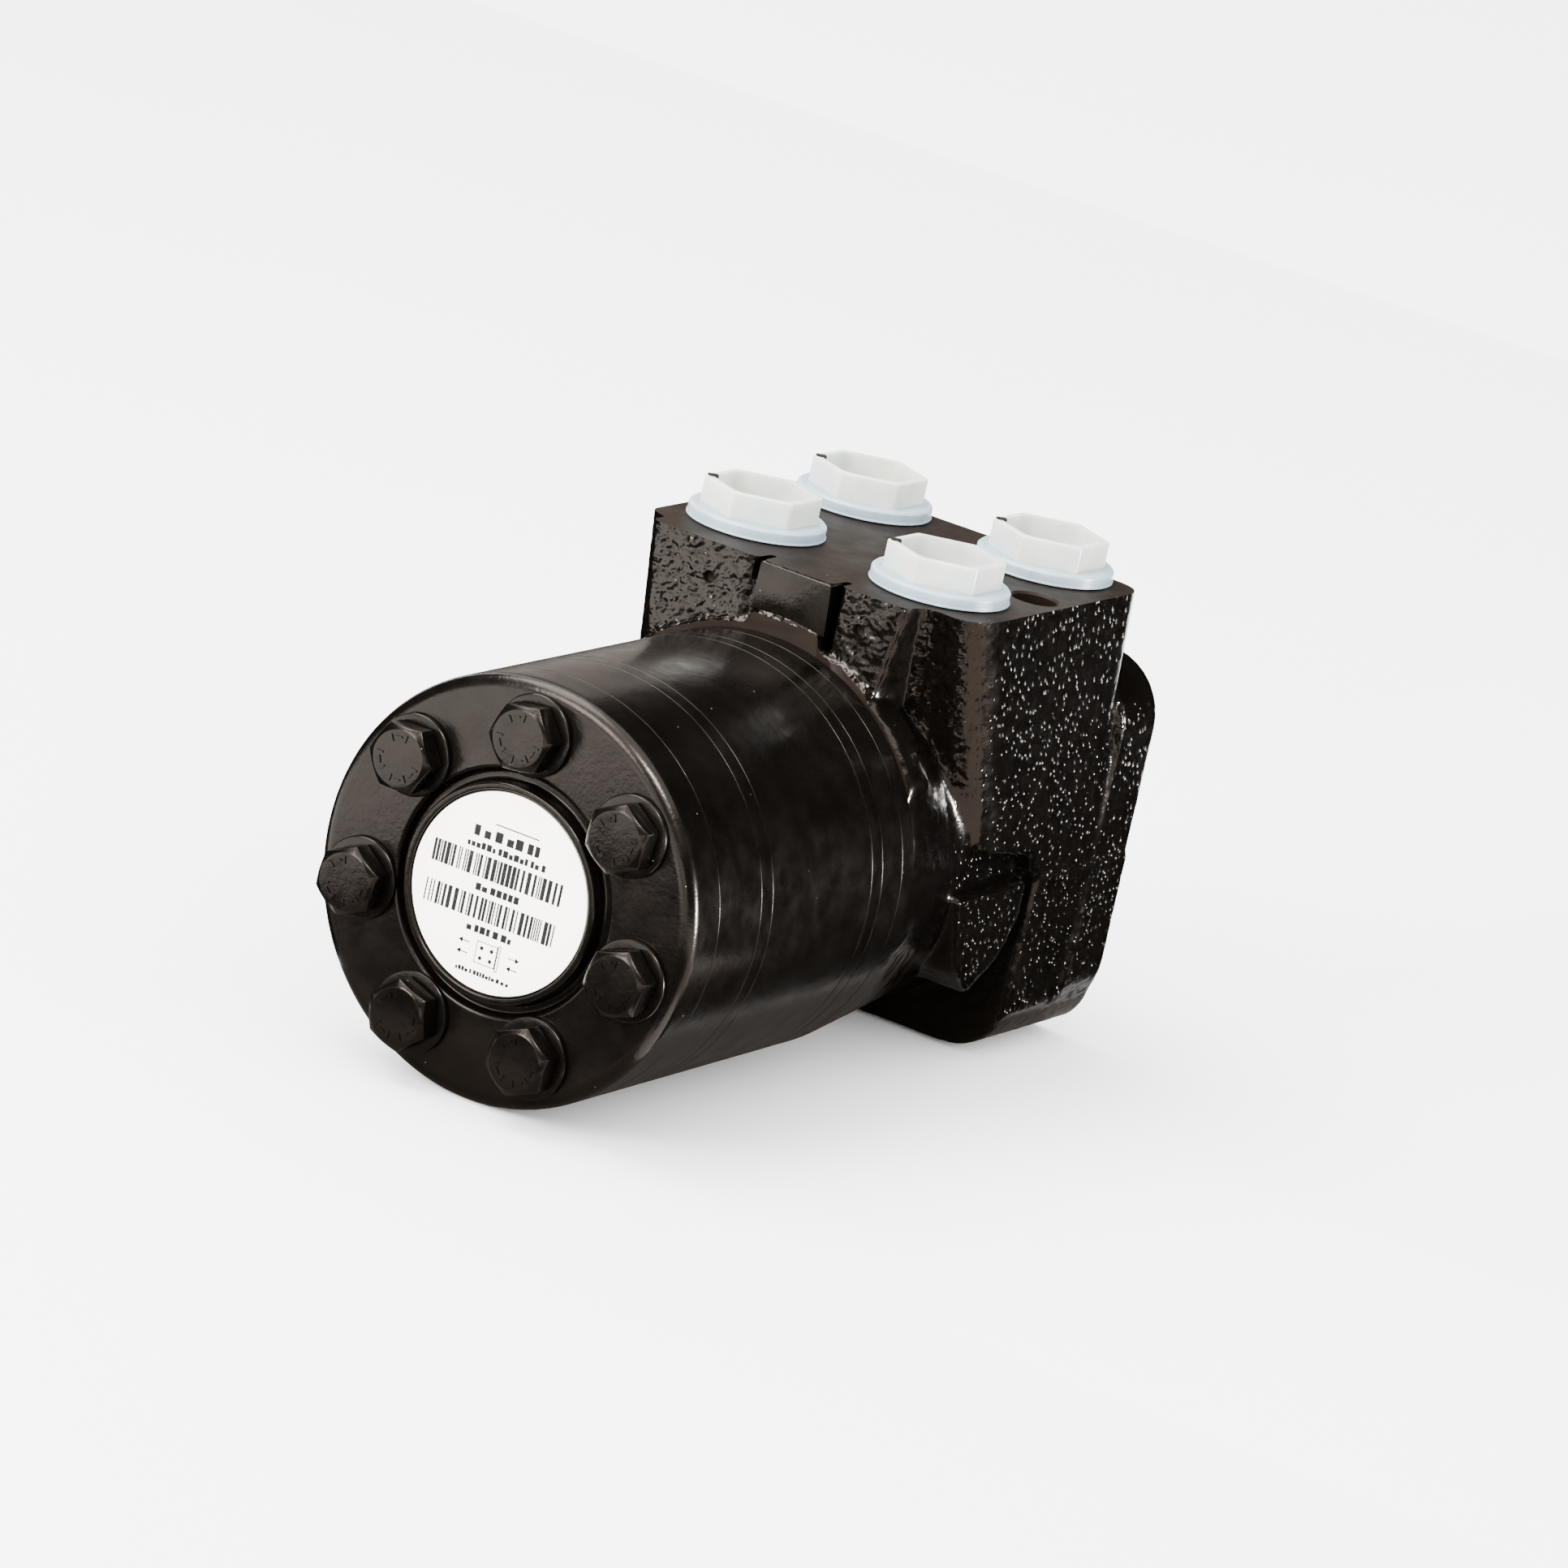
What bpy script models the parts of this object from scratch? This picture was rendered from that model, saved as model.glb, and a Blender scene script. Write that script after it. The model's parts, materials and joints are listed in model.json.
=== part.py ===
"""Orbital steering unit with two gear sets, a hydrostatic steering valve and pump in one body.

The shaft axis runs along +Y, from the end cover (low Y) to the steering column face (high Y).
+Z is up through the port face. Dimensions are in millimetres and are scaled to metres where
the geometry is made. The origin is under the middle of the unit, on the surface it lies on.
"""
import bmesh
import bpy
from math import acos, atan2, cos, hypot, pi, radians, sin
from mathutils import Euler, Vector

MM = 0.001
GAP = 0.3                      # clearance between pieces that touch
SEGMENTS = 32                  # facets round the body
SMALL_SEGMENTS = 12            # facets round screws and small bores

# Driving dimensions
BODY_R = 44.0                  # round plates and gear rims
COVER_T = 10.7
LARGE_SET_W = 16.2
FRONT_PLATE_T = 4.4
VALVE_BODY_W = 39.5
REAR_PLATE_T = 4.2
SMALL_SET_W = 8.1
DISTRIBUTOR_T = 4.8
HOUSING_L = 92.1
SCREW_COUNT = 7
SCREW_CIRCLE_R = 33.3
SCREW_R = 4.0
SCREW_HOLE_R = 4.5
HOLE_START = 0.2               # turns the holes so that their facets miss those of the lobes
SCREW_BITE = 13.0              # length of screw in the housing
HEAD_R = 7.5                   # across corners, 13 mm across flats
HEAD_H = 5.2
WASHER_R = 8.5
WASHER_T = 1.6
LABEL_R = 20.7
LABEL_T = 0.4
PORT_FACE_H = 58.5             # above the shaft axis
PORT_X = 22.7
PORT_Y = (23.6, 68.2)          # behind the housing's front face
PORT_R = 8.8
PORT_DEPTH = 15.0
COLUMN_HOLE_CIRCLE_R = 41.25
M10_R = 4.25

# Gear set geometry: seven rim lobes, six rotor teeth
LOBE_CIRCLE_R = 30.0
LOBE_R = 7.0
ECCENTRIC = 2.5
RIM_ROOT_R = 28.4
ROTOR_CLEARANCE = 0.2
SPLINE_TEETH = 12

# Valve geometry
SLEEVE_R = 19.0
SPOOL_R = 14.6
CROSS_PIN_R = 3.2
CHANGEOVER_R = 4.0

# Places along the shaft axis, from the cover's flat face
Y_COVER = 0.0
Y_LARGE_SET = Y_COVER + COVER_T
Y_FRONT_PLATE = Y_LARGE_SET + LARGE_SET_W
Y_VALVE_BODY = Y_FRONT_PLATE + FRONT_PLATE_T
Y_REAR_PLATE = Y_VALVE_BODY + VALVE_BODY_W
Y_SMALL_SET = Y_REAR_PLATE + REAR_PLATE_T
Y_DISTRIBUTOR = Y_SMALL_SET + SMALL_SET_W
Y_HOUSING = Y_DISTRIBUTOR + DISTRIBUTOR_T
Y_REAR = Y_HOUSING + HOUSING_L
Y_BORE_END = Y_REAR - 14.1     # shoulder behind the thrust bearing
Y_CROSS_PIN = Y_BORE_END - 26.0
Y_HEADS = -(HEAD_H + WASHER_T)
Y_MIDDLE = (Y_HEADS + Y_REAR) / 2
AXIS_Z = BODY_R

SCREW_ANGLES = [radians(90 + k * 360 / SCREW_COUNT) for k in range(SCREW_COUNT)]

BLACK_PAINT = (0.018, 0.016, 0.015)
CAST_PAINT = (0.022, 0.020, 0.018)
GROUND_STEEL = (0.52, 0.53, 0.55)
DARK_STEEL = (0.23, 0.23, 0.24)
PLUG_WHITE = (0.78, 0.84, 0.86)
LABEL_CREAM = (0.86, 0.84, 0.74)
SEAL_RUBBER = (0.03, 0.03, 0.03)


# ---------------------------------------------------------------- scene and helpers

def clear_scene():
    for obj in list(bpy.data.objects):
        bpy.data.objects.remove(obj, do_unlink=True)


def new_collection(name):
    group = bpy.data.collections.new(name)
    bpy.context.scene.collection.children.link(group)
    return group


def material(name, color, roughness, metallic):
    mat = bpy.data.materials.new(name)
    mat.use_nodes = True
    shader = mat.node_tree.nodes["Principled BSDF"]
    shader.inputs["Base Color"].default_value = (*color, 1)
    shader.inputs["Roughness"].default_value = roughness
    shader.inputs["Metallic"].default_value = metallic
    return mat


def link(obj, group=None):
    (group or PARTS).objects.link(obj)
    return obj


def place(x, y, z):
    """World position of a point given from the shaft axis and the cover's flat face."""
    return Vector((x, y - Y_MIDDLE, z + AXIS_Z)) * MM


def along_y(obj, x, y, z):
    """Puts an object whose own Z is its axis along +Y, with its own Y pointing down."""
    obj.location = place(x, y, z)
    obj.rotation_euler = Euler((-pi / 2, 0, 0))
    return obj


def turned(name, profile, closed=True, steps=SEGMENTS, group=None):
    """A turned solid: (radius, height) points that run down the outside, spun about own Z."""
    mesh = bpy.data.meshes.new(name)
    count = len(profile)
    edges = [(i, i + 1) for i in range(count - 1)]
    if closed:
        edges.append((count - 1, 0))
    mesh.from_pydata([(r * MM, 0, h * MM) for r, h in profile], edges, [])
    obj = link(bpy.data.objects.new(name, mesh), group)
    spin = obj.modifiers.new("turn", "SCREW")
    spin.steps = steps
    spin.render_steps = steps
    spin.use_merge_vertices = True
    spin.merge_threshold = 0.00001
    return obj


def ring(name, outer, inner, height, steps=SEGMENTS, group=None):
    return turned(name, [(outer, height), (outer, 0), (inner, 0), (inner, height)], True, steps, group)


def disc(name, radius, height, steps=SEGMENTS, group=None):
    return turned(name, [(0, height), (radius, height), (radius, 0), (0, 0)], False, steps, group)


def circle(radius, steps=SEGMENTS, x=0.0, y=0.0, start=0.0):
    turns = [start + 2 * pi * i / steps for i in range(steps)]
    return [(x + radius * cos(t), y + radius * sin(t)) for t in turns]


def solid_from_curve(name, curve, lift=0.0, group=None):
    """Turns a filled or bevelled curve into a closed mesh, raised by lift along own Z."""
    draft = link(bpy.data.objects.new(name + "_curve", curve), CUTTERS)
    mesh = bpy.data.meshes.new_from_object(draft)
    bpy.data.objects.remove(draft, do_unlink=True)
    shape = bmesh.new()
    shape.from_mesh(mesh)
    bmesh.ops.remove_doubles(shape, verts=shape.verts, dist=0.000001)
    bmesh.ops.translate(shape, verts=shape.verts, vec=(0, 0, lift * MM))
    bmesh.ops.recalc_face_normals(shape, faces=shape.faces)
    shape.to_mesh(mesh)
    shape.free()
    mesh.materials.clear()
    return link(bpy.data.objects.new(name, mesh), group)


def prism(name, outlines, height, group=None):
    """A flat outline with holes, filled as a 2D curve, its lower face at own Z = 0."""
    curve = bpy.data.curves.new(name, "CURVE")
    curve.dimensions = "2D"
    curve.fill_mode = "BOTH"
    curve.extrude = height / 2 * MM
    for outline in outlines:
        spline = curve.splines.new("POLY")
        spline.points.add(len(outline) - 1)
        for point, (x, y) in zip(spline.points, outline):
            point.co = (x * MM, y * MM, 0, 1)
        spline.use_cyclic_u = True
    return solid_from_curve(name, curve, height / 2, group)


def block(name, low, high, bevel=0.0, group=None, bevel_steps=2):
    """A box between two corners, given from the shaft axis and the cover's flat face."""
    mesh = bpy.data.meshes.new(name)
    shape = bmesh.new()
    bmesh.ops.create_cube(shape, size=1.0)
    size = [(b - a) * MM for a, b in zip(low, high)]
    bmesh.ops.scale(shape, verts=shape.verts, vec=size)
    shape.to_mesh(mesh)
    shape.free()
    obj = link(bpy.data.objects.new(name, mesh), group)
    obj.location = place(*[(a + b) / 2 for a, b in zip(low, high)])
    if bevel:
        edge = obj.modifiers.new("edge", "BEVEL")
        edge.width = bevel * MM
        edge.segments = bevel_steps
        edge.limit_method = "ANGLE"
    return obj


def boolean(obj, other, operation):
    tool = obj.modifiers.new(operation.lower(), "BOOLEAN")
    tool.operation = operation
    tool.solver = "EXACT"
    tool.object = other
    other.hide_render = True
    other.display_type = "WIRE"
    return obj


def cut(obj, other):
    return boolean(obj, other, "DIFFERENCE")


def join(obj, other):
    return boolean(obj, other, "UNION")


def finish(obj, mat):
    """Gives the part its material, also on the faces that its cutters leave."""
    obj.data.materials.clear()
    obj.data.materials.append(mat)
    return obj


def drill(name, radius, start, end, steps=SMALL_SEGMENTS):
    """A cutter cylinder between two points, given from the shaft axis and the cover's face."""
    tail, head = place(*start), place(*end)
    tool = disc(name, radius, (head - tail).length / MM, steps, CUTTERS)
    tool.location = tail
    tool.rotation_euler = (head - tail).to_track_quat("Z", "Y").to_euler()
    return tool


def child_of(obj, parent):
    """Parents without moving the object."""
    bpy.context.view_layer.update()
    obj.parent = parent
    obj.matrix_parent_inverse = parent.matrix_world.inverted()
    return obj


def axis_empty(name, x, y, z):
    empty = link(bpy.data.objects.new(name, None))
    along_y(empty, x, y, z)
    bpy.context.view_layer.update()
    return empty


# ---------------------------------------------------------------- outlines

def spline_outline(root_r, tip_r, tooth_share):
    """Straight-sided spline: each tooth takes tooth_share of its pitch."""
    points = []
    pitch = 2 * pi / SPLINE_TEETH
    for k in range(SPLINE_TEETH):
        middle = k * pitch
        half = pitch * tooth_share / 2
        for radius, angle in ((root_r, -half * 1.25), (tip_r, -half), (tip_r, half), (root_r, half * 1.25)):
            points.append((radius * cos(middle + angle), radius * sin(middle + angle)))
    return points


def rim_outline():
    """Inside of a gear rim: a round root with a round lobe inward at each screw."""
    reach = acos((LOBE_CIRCLE_R ** 2 + RIM_ROOT_R ** 2 - LOBE_R ** 2) / (2 * LOBE_CIRCLE_R * RIM_ROOT_R))
    touch_x = RIM_ROOT_R * cos(reach) - LOBE_CIRCLE_R
    swing = atan2(RIM_ROOT_R * sin(reach), -touch_x)
    points = []
    for angle in SCREW_ANGLES:
        for step in range(9):
            turn = swing * (step / 4 - 1)
            x = LOBE_CIRCLE_R - LOBE_R * cos(turn)
            y = LOBE_R * sin(turn)
            points.append((x * cos(angle) - y * sin(angle), x * sin(angle) + y * cos(angle)))
        gap = 2 * pi / SCREW_COUNT - 2 * reach
        for step in (1, 2, 3):
            root = angle + reach + gap * step / 4
            points.append((RIM_ROOT_R * cos(root), RIM_ROOT_R * sin(root)))
    return [(x, -y) for x, y in points]


def rotor_outline(count=84):
    """Rotor that touches all seven lobes: a trochoid offset inward by the lobe radius."""
    inset = LOBE_R + ROTOR_CLEARANCE
    lobes = SCREW_COUNT
    points = []
    for i in range(count):
        turn = 2 * pi * i / count
        x = LOBE_CIRCLE_R * cos(turn) - ECCENTRIC * cos(lobes * turn)
        y = LOBE_CIRCLE_R * sin(turn) - ECCENTRIC * sin(lobes * turn)
        dx = -LOBE_CIRCLE_R * sin(turn) + lobes * ECCENTRIC * sin(lobes * turn)
        dy = LOBE_CIRCLE_R * cos(turn) - lobes * ECCENTRIC * cos(lobes * turn)
        size = hypot(dx, dy)
        points.append((x - inset * dy / size, y + inset * dx / size))
    return [(x, -y) for x, y in points]


def screw_hole_outlines():
    return [circle(SCREW_HOLE_R, SMALL_SEGMENTS, SCREW_CIRCLE_R * cos(a), -SCREW_CIRCLE_R * sin(a),
                   HOLE_START)
            for a in SCREW_ANGLES]


# ---------------------------------------------------------------- stacked round pieces

GROOVE = (39.1, 41.9, 1.5)     # O-ring groove: inner and outer radius, depth
RING_R = 40.5
RING_SECTION_R = 0.65


def plate_profile(bore_r, height, front_groove, rear_groove):
    """A round plate, front face at height 0, with O-ring grooves where asked."""
    inner, outer, depth = GROOVE
    rear = [(outer, height), (outer, height - depth), (inner, height - depth), (inner, height)]
    front = [(inner, 0), (inner, depth), (outer, depth), (outer, 0)]
    profile = [(BODY_R, height), (BODY_R, 0)]
    profile += list(reversed(front)) if front_groove else []
    profile += [(bore_r, 0), (bore_r, height)]
    profile += list(reversed(rear)) if rear_groove else []
    return profile


def drilled_plate(name, bore_r, y, height, front_groove, rear_groove, mat):
    plate = turned(name, plate_profile(bore_r, height - GAP, front_groove, rear_groove))
    along_y(plate, 0, y, 0)
    return finish(cut(plate, SCREW_HOLES), mat)


def end_cover(mat):
    """Turned cover: rounded rim, flat screw face, groove, raised boss with a label pocket."""
    back = COVER_T - GAP
    inner, outer, depth = GROOVE
    rim = [(BODY_R - 3 + 3 * cos(radians(t)), 3 - 3 * sin(radians(t))) for t in (0, 45, 90)]
    profile = [(0, back), (inner, back), (inner, back - depth), (outer, back - depth), (outer, back),
               (BODY_R, back)] + rim
    profile += [(24.6, 0), (24.0, 1.4), (22.8, 1.4), (22.5, -1.4), (21.2, -1.4), (21.1, -0.6), (0, -0.6)]
    cover = along_y(turned("end_cover", profile, closed=False), 0, Y_COVER, 0)
    return finish(cut(cover, SCREW_HOLES), mat)


def name_plate(mat):
    plate = along_y(disc("name_plate", LABEL_R, LABEL_T), 0, Y_COVER - 1.3, 0)
    return finish(plate, mat)


def cover_screw(index, angle, mat):
    """Hexagon screw with a chamfered head, long enough to reach the housing."""
    reach = Y_HOUSING + SCREW_BITE
    x, z = SCREW_CIRCLE_R * cos(angle), SCREW_CIRCLE_R * sin(angle)
    chamfer = 1.0 if index == 1 else 0.6
    head = turned(f"cover_screw_{index}", [(0, HEAD_H), (HEAD_R, HEAD_H), (HEAD_R, chamfer),
                  (HEAD_R - 1.2, 0), (0, 0)], closed=False, steps=6)
    along_y(head, x, Y_HEADS, z)
    shank = disc(f"cover_screw_{index}_shank", SCREW_R, reach - Y_HEADS - 1, 12, CUTTERS)
    along_y(shank, x, Y_HEADS + 1, z)
    return finish(join(head, shank), mat)


def cover_washer(index, angle, mat):
    washer = ring(f"cover_washer_{index}", WASHER_R, SCREW_HOLE_R, WASHER_T - 2 * GAP, SMALL_SEGMENTS)
    along_y(washer, SCREW_CIRCLE_R * cos(angle), -WASHER_T + GAP, SCREW_CIRCLE_R * sin(angle))
    return finish(washer, mat)


def gear_rim(name, y, width, mat):
    outlines = [circle(BODY_R), rim_outline()] + screw_hole_outlines()
    rim = prism(name, outlines, width - GAP)
    return finish(along_y(rim, 0, y, 0), mat)


def rotor(name, y, width, mat):
    """Six-tooth rotor on its own centre, which lies one eccentricity below the shaft axis."""
    outlines = [rotor_outline(), spline_outline(6.7, 8.1, 0.42)]
    wheel = prism(name, outlines, width - 3 * GAP)
    return finish(along_y(wheel, 0, y + GAP, -ECCENTRIC), mat)


def o_ring(index, y, mat):
    """Torus that sits in a plate's groove, its centre at y."""
    section = [(RING_R + RING_SECTION_R * cos(t), RING_SECTION_R * sin(t))
               for t in (pi / 2 - 2 * pi * k / 4 for k in range(4))]
    return finish(along_y(turned(f"o_ring_{index}", section, steps=24), 0, y, 0), mat)


# ---------------------------------------------------------------- shafts

def link_shaft(mat):
    """Splined along its whole length, it turns the large rotor with the small one."""
    front, rear = Y_LARGE_SET + 4.2, Y_SMALL_SET + 4.0
    shaft = prism("link_shaft", [spline_outline(6.1, 7.6, 0.36)], rear - front)
    return finish(along_y(shaft, 0, front, -ECCENTRIC), mat)


def cardan_shaft(mat):
    """Forked shaft from the cross pin to the small rotor, tilted by the eccentricity."""
    tail_y = Y_CROSS_PIN + 6
    front_y = Y_SMALL_SET + 4.5
    pin = place(0, Y_CROSS_PIN, 0)
    centre = place(0, Y_SMALL_SET + SMALL_SET_W / 2, -ECCENTRIC)
    tilt = (pin - centre).to_track_quat("Z", "Y")
    reach = (pin - centre).length / MM
    front = front_y - (Y_SMALL_SET + SMALL_SET_W / 2)
    rear = reach + tail_y - Y_CROSS_PIN
    profile = [(0, rear), (8.6, rear), (8.8, rear - 3), (8.8, rear - 13), (5.4, rear - 18), (5.4, front + 9),
               (6.1, front + 7), (6.1, front), (0, front)]
    shaft = turned("cardan_shaft", profile, closed=False, steps=SMALL_SEGMENTS)
    head = prism("cardan_spline", [spline_outline(6.0, 7.5, 0.34)], 4.5, CUTTERS)
    for obj, height in ((shaft, 0), (head, front)):
        obj.rotation_euler = tilt.to_euler()
        obj.location = centre + tilt @ Vector((0, 0, height * MM))
    slot_z = reach - CROSS_PIN_R - 0.8
    fork = block("cardan_fork", (-12, -3.8, 0), (12, 3.8, 20), group=CUTTERS)
    fork.rotation_euler = tilt.to_euler()
    fork.location = centre + tilt @ Vector((0, 0, (slot_z + 10) * MM))
    join(shaft, head)
    return finish(cut(shaft, fork), mat)


# ---------------------------------------------------------------- rotary valve

def spool(mat):
    """Inner valve member: column spline at the rear, spring slot, cross-pin slot, front bore."""
    front, rear = Y_HOUSING + 2 * GAP, Y_REAR - 4
    step = Y_BORE_END + 4.6
    height = rear - front
    pin = Y_CROSS_PIN - front
    body = turned("spool", [(0, height), (12.7, height), (12.7, step - front), (SPOOL_R, step - front - 1),
                  (SPOOL_R, 0), (10.5, 0), (10.5, pin + 7.4), (0, pin + 7.4)], closed=False)
    along_y(body, 0, front, 0)
    socket = prism("spool_socket", [spline_outline(8.2, 9.7, 0.5)], 20, CUTTERS)
    cut(body, along_y(socket, 0, rear - 15.5, 0))
    spring_slot = block("spool_spring_slot", (-30, SPRING_Y - 4, -5.4), (30, SPRING_Y + 4, 5.4), group=CUTTERS)
    pin_slot = block("spool_pin_slot", (-30, Y_CROSS_PIN - 3.7, -6.2), (30, Y_CROSS_PIN + 3.7, 6.2),
                     group=CUTTERS)
    cut(body, spring_slot)
    cut(body, pin_slot)
    groove = ring("spool_groove", 20, SPOOL_R - 1.2, 3.0, SEGMENTS, CUTTERS)
    cut(body, along_y(groove, 0, Y_HOUSING + 14, 0))
    return finish(body, mat)


def sleeve(mat):
    """Outer valve member with feed holes, a spring slot and the cross pin's holes."""
    front, rear = Y_HOUSING + 2 * GAP, Y_BORE_END - 5.2
    body = along_y(ring("sleeve", SLEEVE_R, SPOOL_R + GAP, rear - front), 0, front, 0)
    slot = block("sleeve_spring_slot", (-30, SPRING_Y - 4, -3.5), (30, SPRING_Y + 4, 3.5), group=CUTTERS)
    cut(body, slot)
    cut(body, drill("sleeve_pin_hole", CROSS_PIN_R + GAP, (-30, Y_CROSS_PIN, 0), (30, Y_CROSS_PIN, 0), 12))
    cut(body, drill("sleeve_feed_a", 1.6, (0, Y_HOUSING + 16, -30), (0, Y_HOUSING + 16, 30), 8))
    cut(body, drill("sleeve_feed_b", 1.6, (-30, Y_HOUSING + 34, 0), (30, Y_HOUSING + 34, 0), 8))
    return finish(body, mat)


def cross_pin(mat):
    pin = disc("cross_pin", CROSS_PIN_R, 2 * (SLEEVE_R - 0.6), 12)
    pin.location = place(-SLEEVE_R + 0.6, Y_CROSS_PIN, 0)
    pin.rotation_euler = Euler((0, pi / 2, 0))
    return finish(pin, mat)


def spring_leaf(name, side, mat):
    """One bowed centring leaf through the sleeve and spool slots."""
    half, bow, thick, width = 18.0, 1.7, 0.7, 6.4
    steps = 8
    upper = [(half * (2 * i / steps - 1), thick + bow * (1 - (2 * i / steps - 1) ** 2)) for i in range(steps + 1)]
    lower = [(x, y - thick) for x, y in upper]
    outline = [(x, side * (y + 0.25)) for x, y in upper + lower[::-1]]
    leaf = prism(name, [outline], width)
    return finish(along_y(leaf, 0, SPRING_Y - width / 2, 0), mat)


def bearing_needles(y, mat):
    """Needle thrust bearing: a cage ring with radial rollers standing out of both faces."""
    cage = along_y(ring("thrust_bearing", SLEEVE_R - 0.2, SPOOL_R + 0.5, 1.4, 24), 0, y + 0.3, 0)
    for k in range(8):
        angle = 2 * pi * (k + 0.1) / 8
        near, far = SPOOL_R + 1.2, SLEEVE_R - 0.9
        start = (near * cos(angle), y + 1.0, near * sin(angle))
        end = (far * cos(angle), y + 1.0, far * sin(angle))
        join(cage, drill(f"bearing_needle_{k}", 1.0, start, end, 6))
    return finish(cage, mat)


# ---------------------------------------------------------------- housing

MILLING = 2.0                  # stock above the port face, cut flat
PAD_X = (-6.6, 10.7)           # smooth pad between the two front bosses
PAD_PROUD = 1.6                # how far it reaches over the round plates
PAD_R = 48.6                   # its hollow underside


def housing_block():
    """Port block with drafted sides: wide at the shaft's height, narrower at the port face."""
    top, mid = 41.9, 45.2
    outline = [(-mid, -0.7), (-top, PORT_FACE_H + MILLING), (top, PORT_FACE_H + MILLING), (mid, -0.7)]
    front, rear = Y_HOUSING + 8.0, Y_REAR - 12.7
    solid = prism("housing", [[(x, -z) for x, z in outline]], rear - front)
    along_y(solid, 0, front, 0)
    edge = solid.modifiers.new("edge", "BEVEL")
    edge.width = 5 * MM
    edge.segments = 3
    edge.limit_method = "WEIGHT"
    upright = solid.data.attributes.new("bevel_weight_edge", "FLOAT", "EDGE")
    for e in solid.data.edges:
        a, b = (solid.data.vertices[v].co for v in e.vertices)
        sloping = abs(a.z - b.z) < 1e-6 and abs(a.y - b.y) > 0.01
        upright.data[e.index].value = 1.0 if sloping else 0.0
    return solid


def flange_outline(half_width, top, bottom, corner):
    points = []
    for cx, cz, start in ((half_width, top, 0), (-half_width, top, 90), (-half_width, bottom, 180),
                          (half_width, bottom, 270)):
        sx, sz = (1 if cx > 0 else -1), (1 if cz > 0 else -1)
        for step in range(6):
            t = radians(start + 18 * step)
            points.append((cx - sx * corner + corner * cos(t), cz - sz * corner + corner * sin(t)))
    return [(x, -z) for x, z in points]


def housing(mat):
    """One casting: port block, round neck, barrel, column flange and side lugs, then its bores."""
    solid = housing_block()
    pieces = []
    neck = turned("housing_neck", [(0, 70), (40, 70), (40.5, 40), (43.4, 20), (BODY_R, 15), (BODY_R, 0), (0, 0)],
                  closed=False, group=CUTTERS)
    pieces.append(along_y(neck, 0, Y_HOUSING, 0))
    ears = prism("housing_ears", [flange_outline(44.8, 41.2, -43.4, 14)], 19, CUTTERS)
    pieces.append(along_y(ears, 0, Y_REAR - 19, 0))
    foot = prism("housing_foot", [flange_outline(44.4, 26, -43.2, 13)], 29, CUTTERS)
    pieces.append(along_y(foot, 0, Y_REAR - 29.7, 0))
    for side in (-1, 1):
        boss = block(f"housing_boss_{side}", (min(side * 9.5, side * 35), Y_HOUSING, 20),
                     (max(side * 9.5, side * 35), Y_HOUSING + 14, PORT_FACE_H + 4), 3.0, CUTTERS)
        relief = disc(f"housing_relief_{side}", 46.2, 7, SEGMENTS, CUTTERS)
        cut(boss, along_y(relief, 0, Y_HOUSING - 1, 0))
        pieces.append(boss)
        pieces.append(block(f"housing_lug_{side}", (min(side * 20, side * 44.6), Y_HOUSING + 16.5, -25),
                            (max(side * 20, side * 44.6), Y_HOUSING + 58, 4), 7.0, CUTTERS, 3))
    pad = block("housing_pad", (PAD_X[0], Y_HOUSING - PAD_PROUD, 36), (PAD_X[1], Y_HOUSING + 11, PORT_FACE_H + 4),
                1.5, CUTTERS)
    pad_relief = disc("housing_pad_relief", PAD_R, 20, SEGMENTS, CUTTERS)
    cut(pad, along_y(pad_relief, 0, Y_HOUSING - 18, 0))
    pieces.append(pad)
    for piece in pieces:
        join(solid, piece)
    for tool in housing_bores():
        cut(solid, tool)
    return finish(solid, mat)


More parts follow.
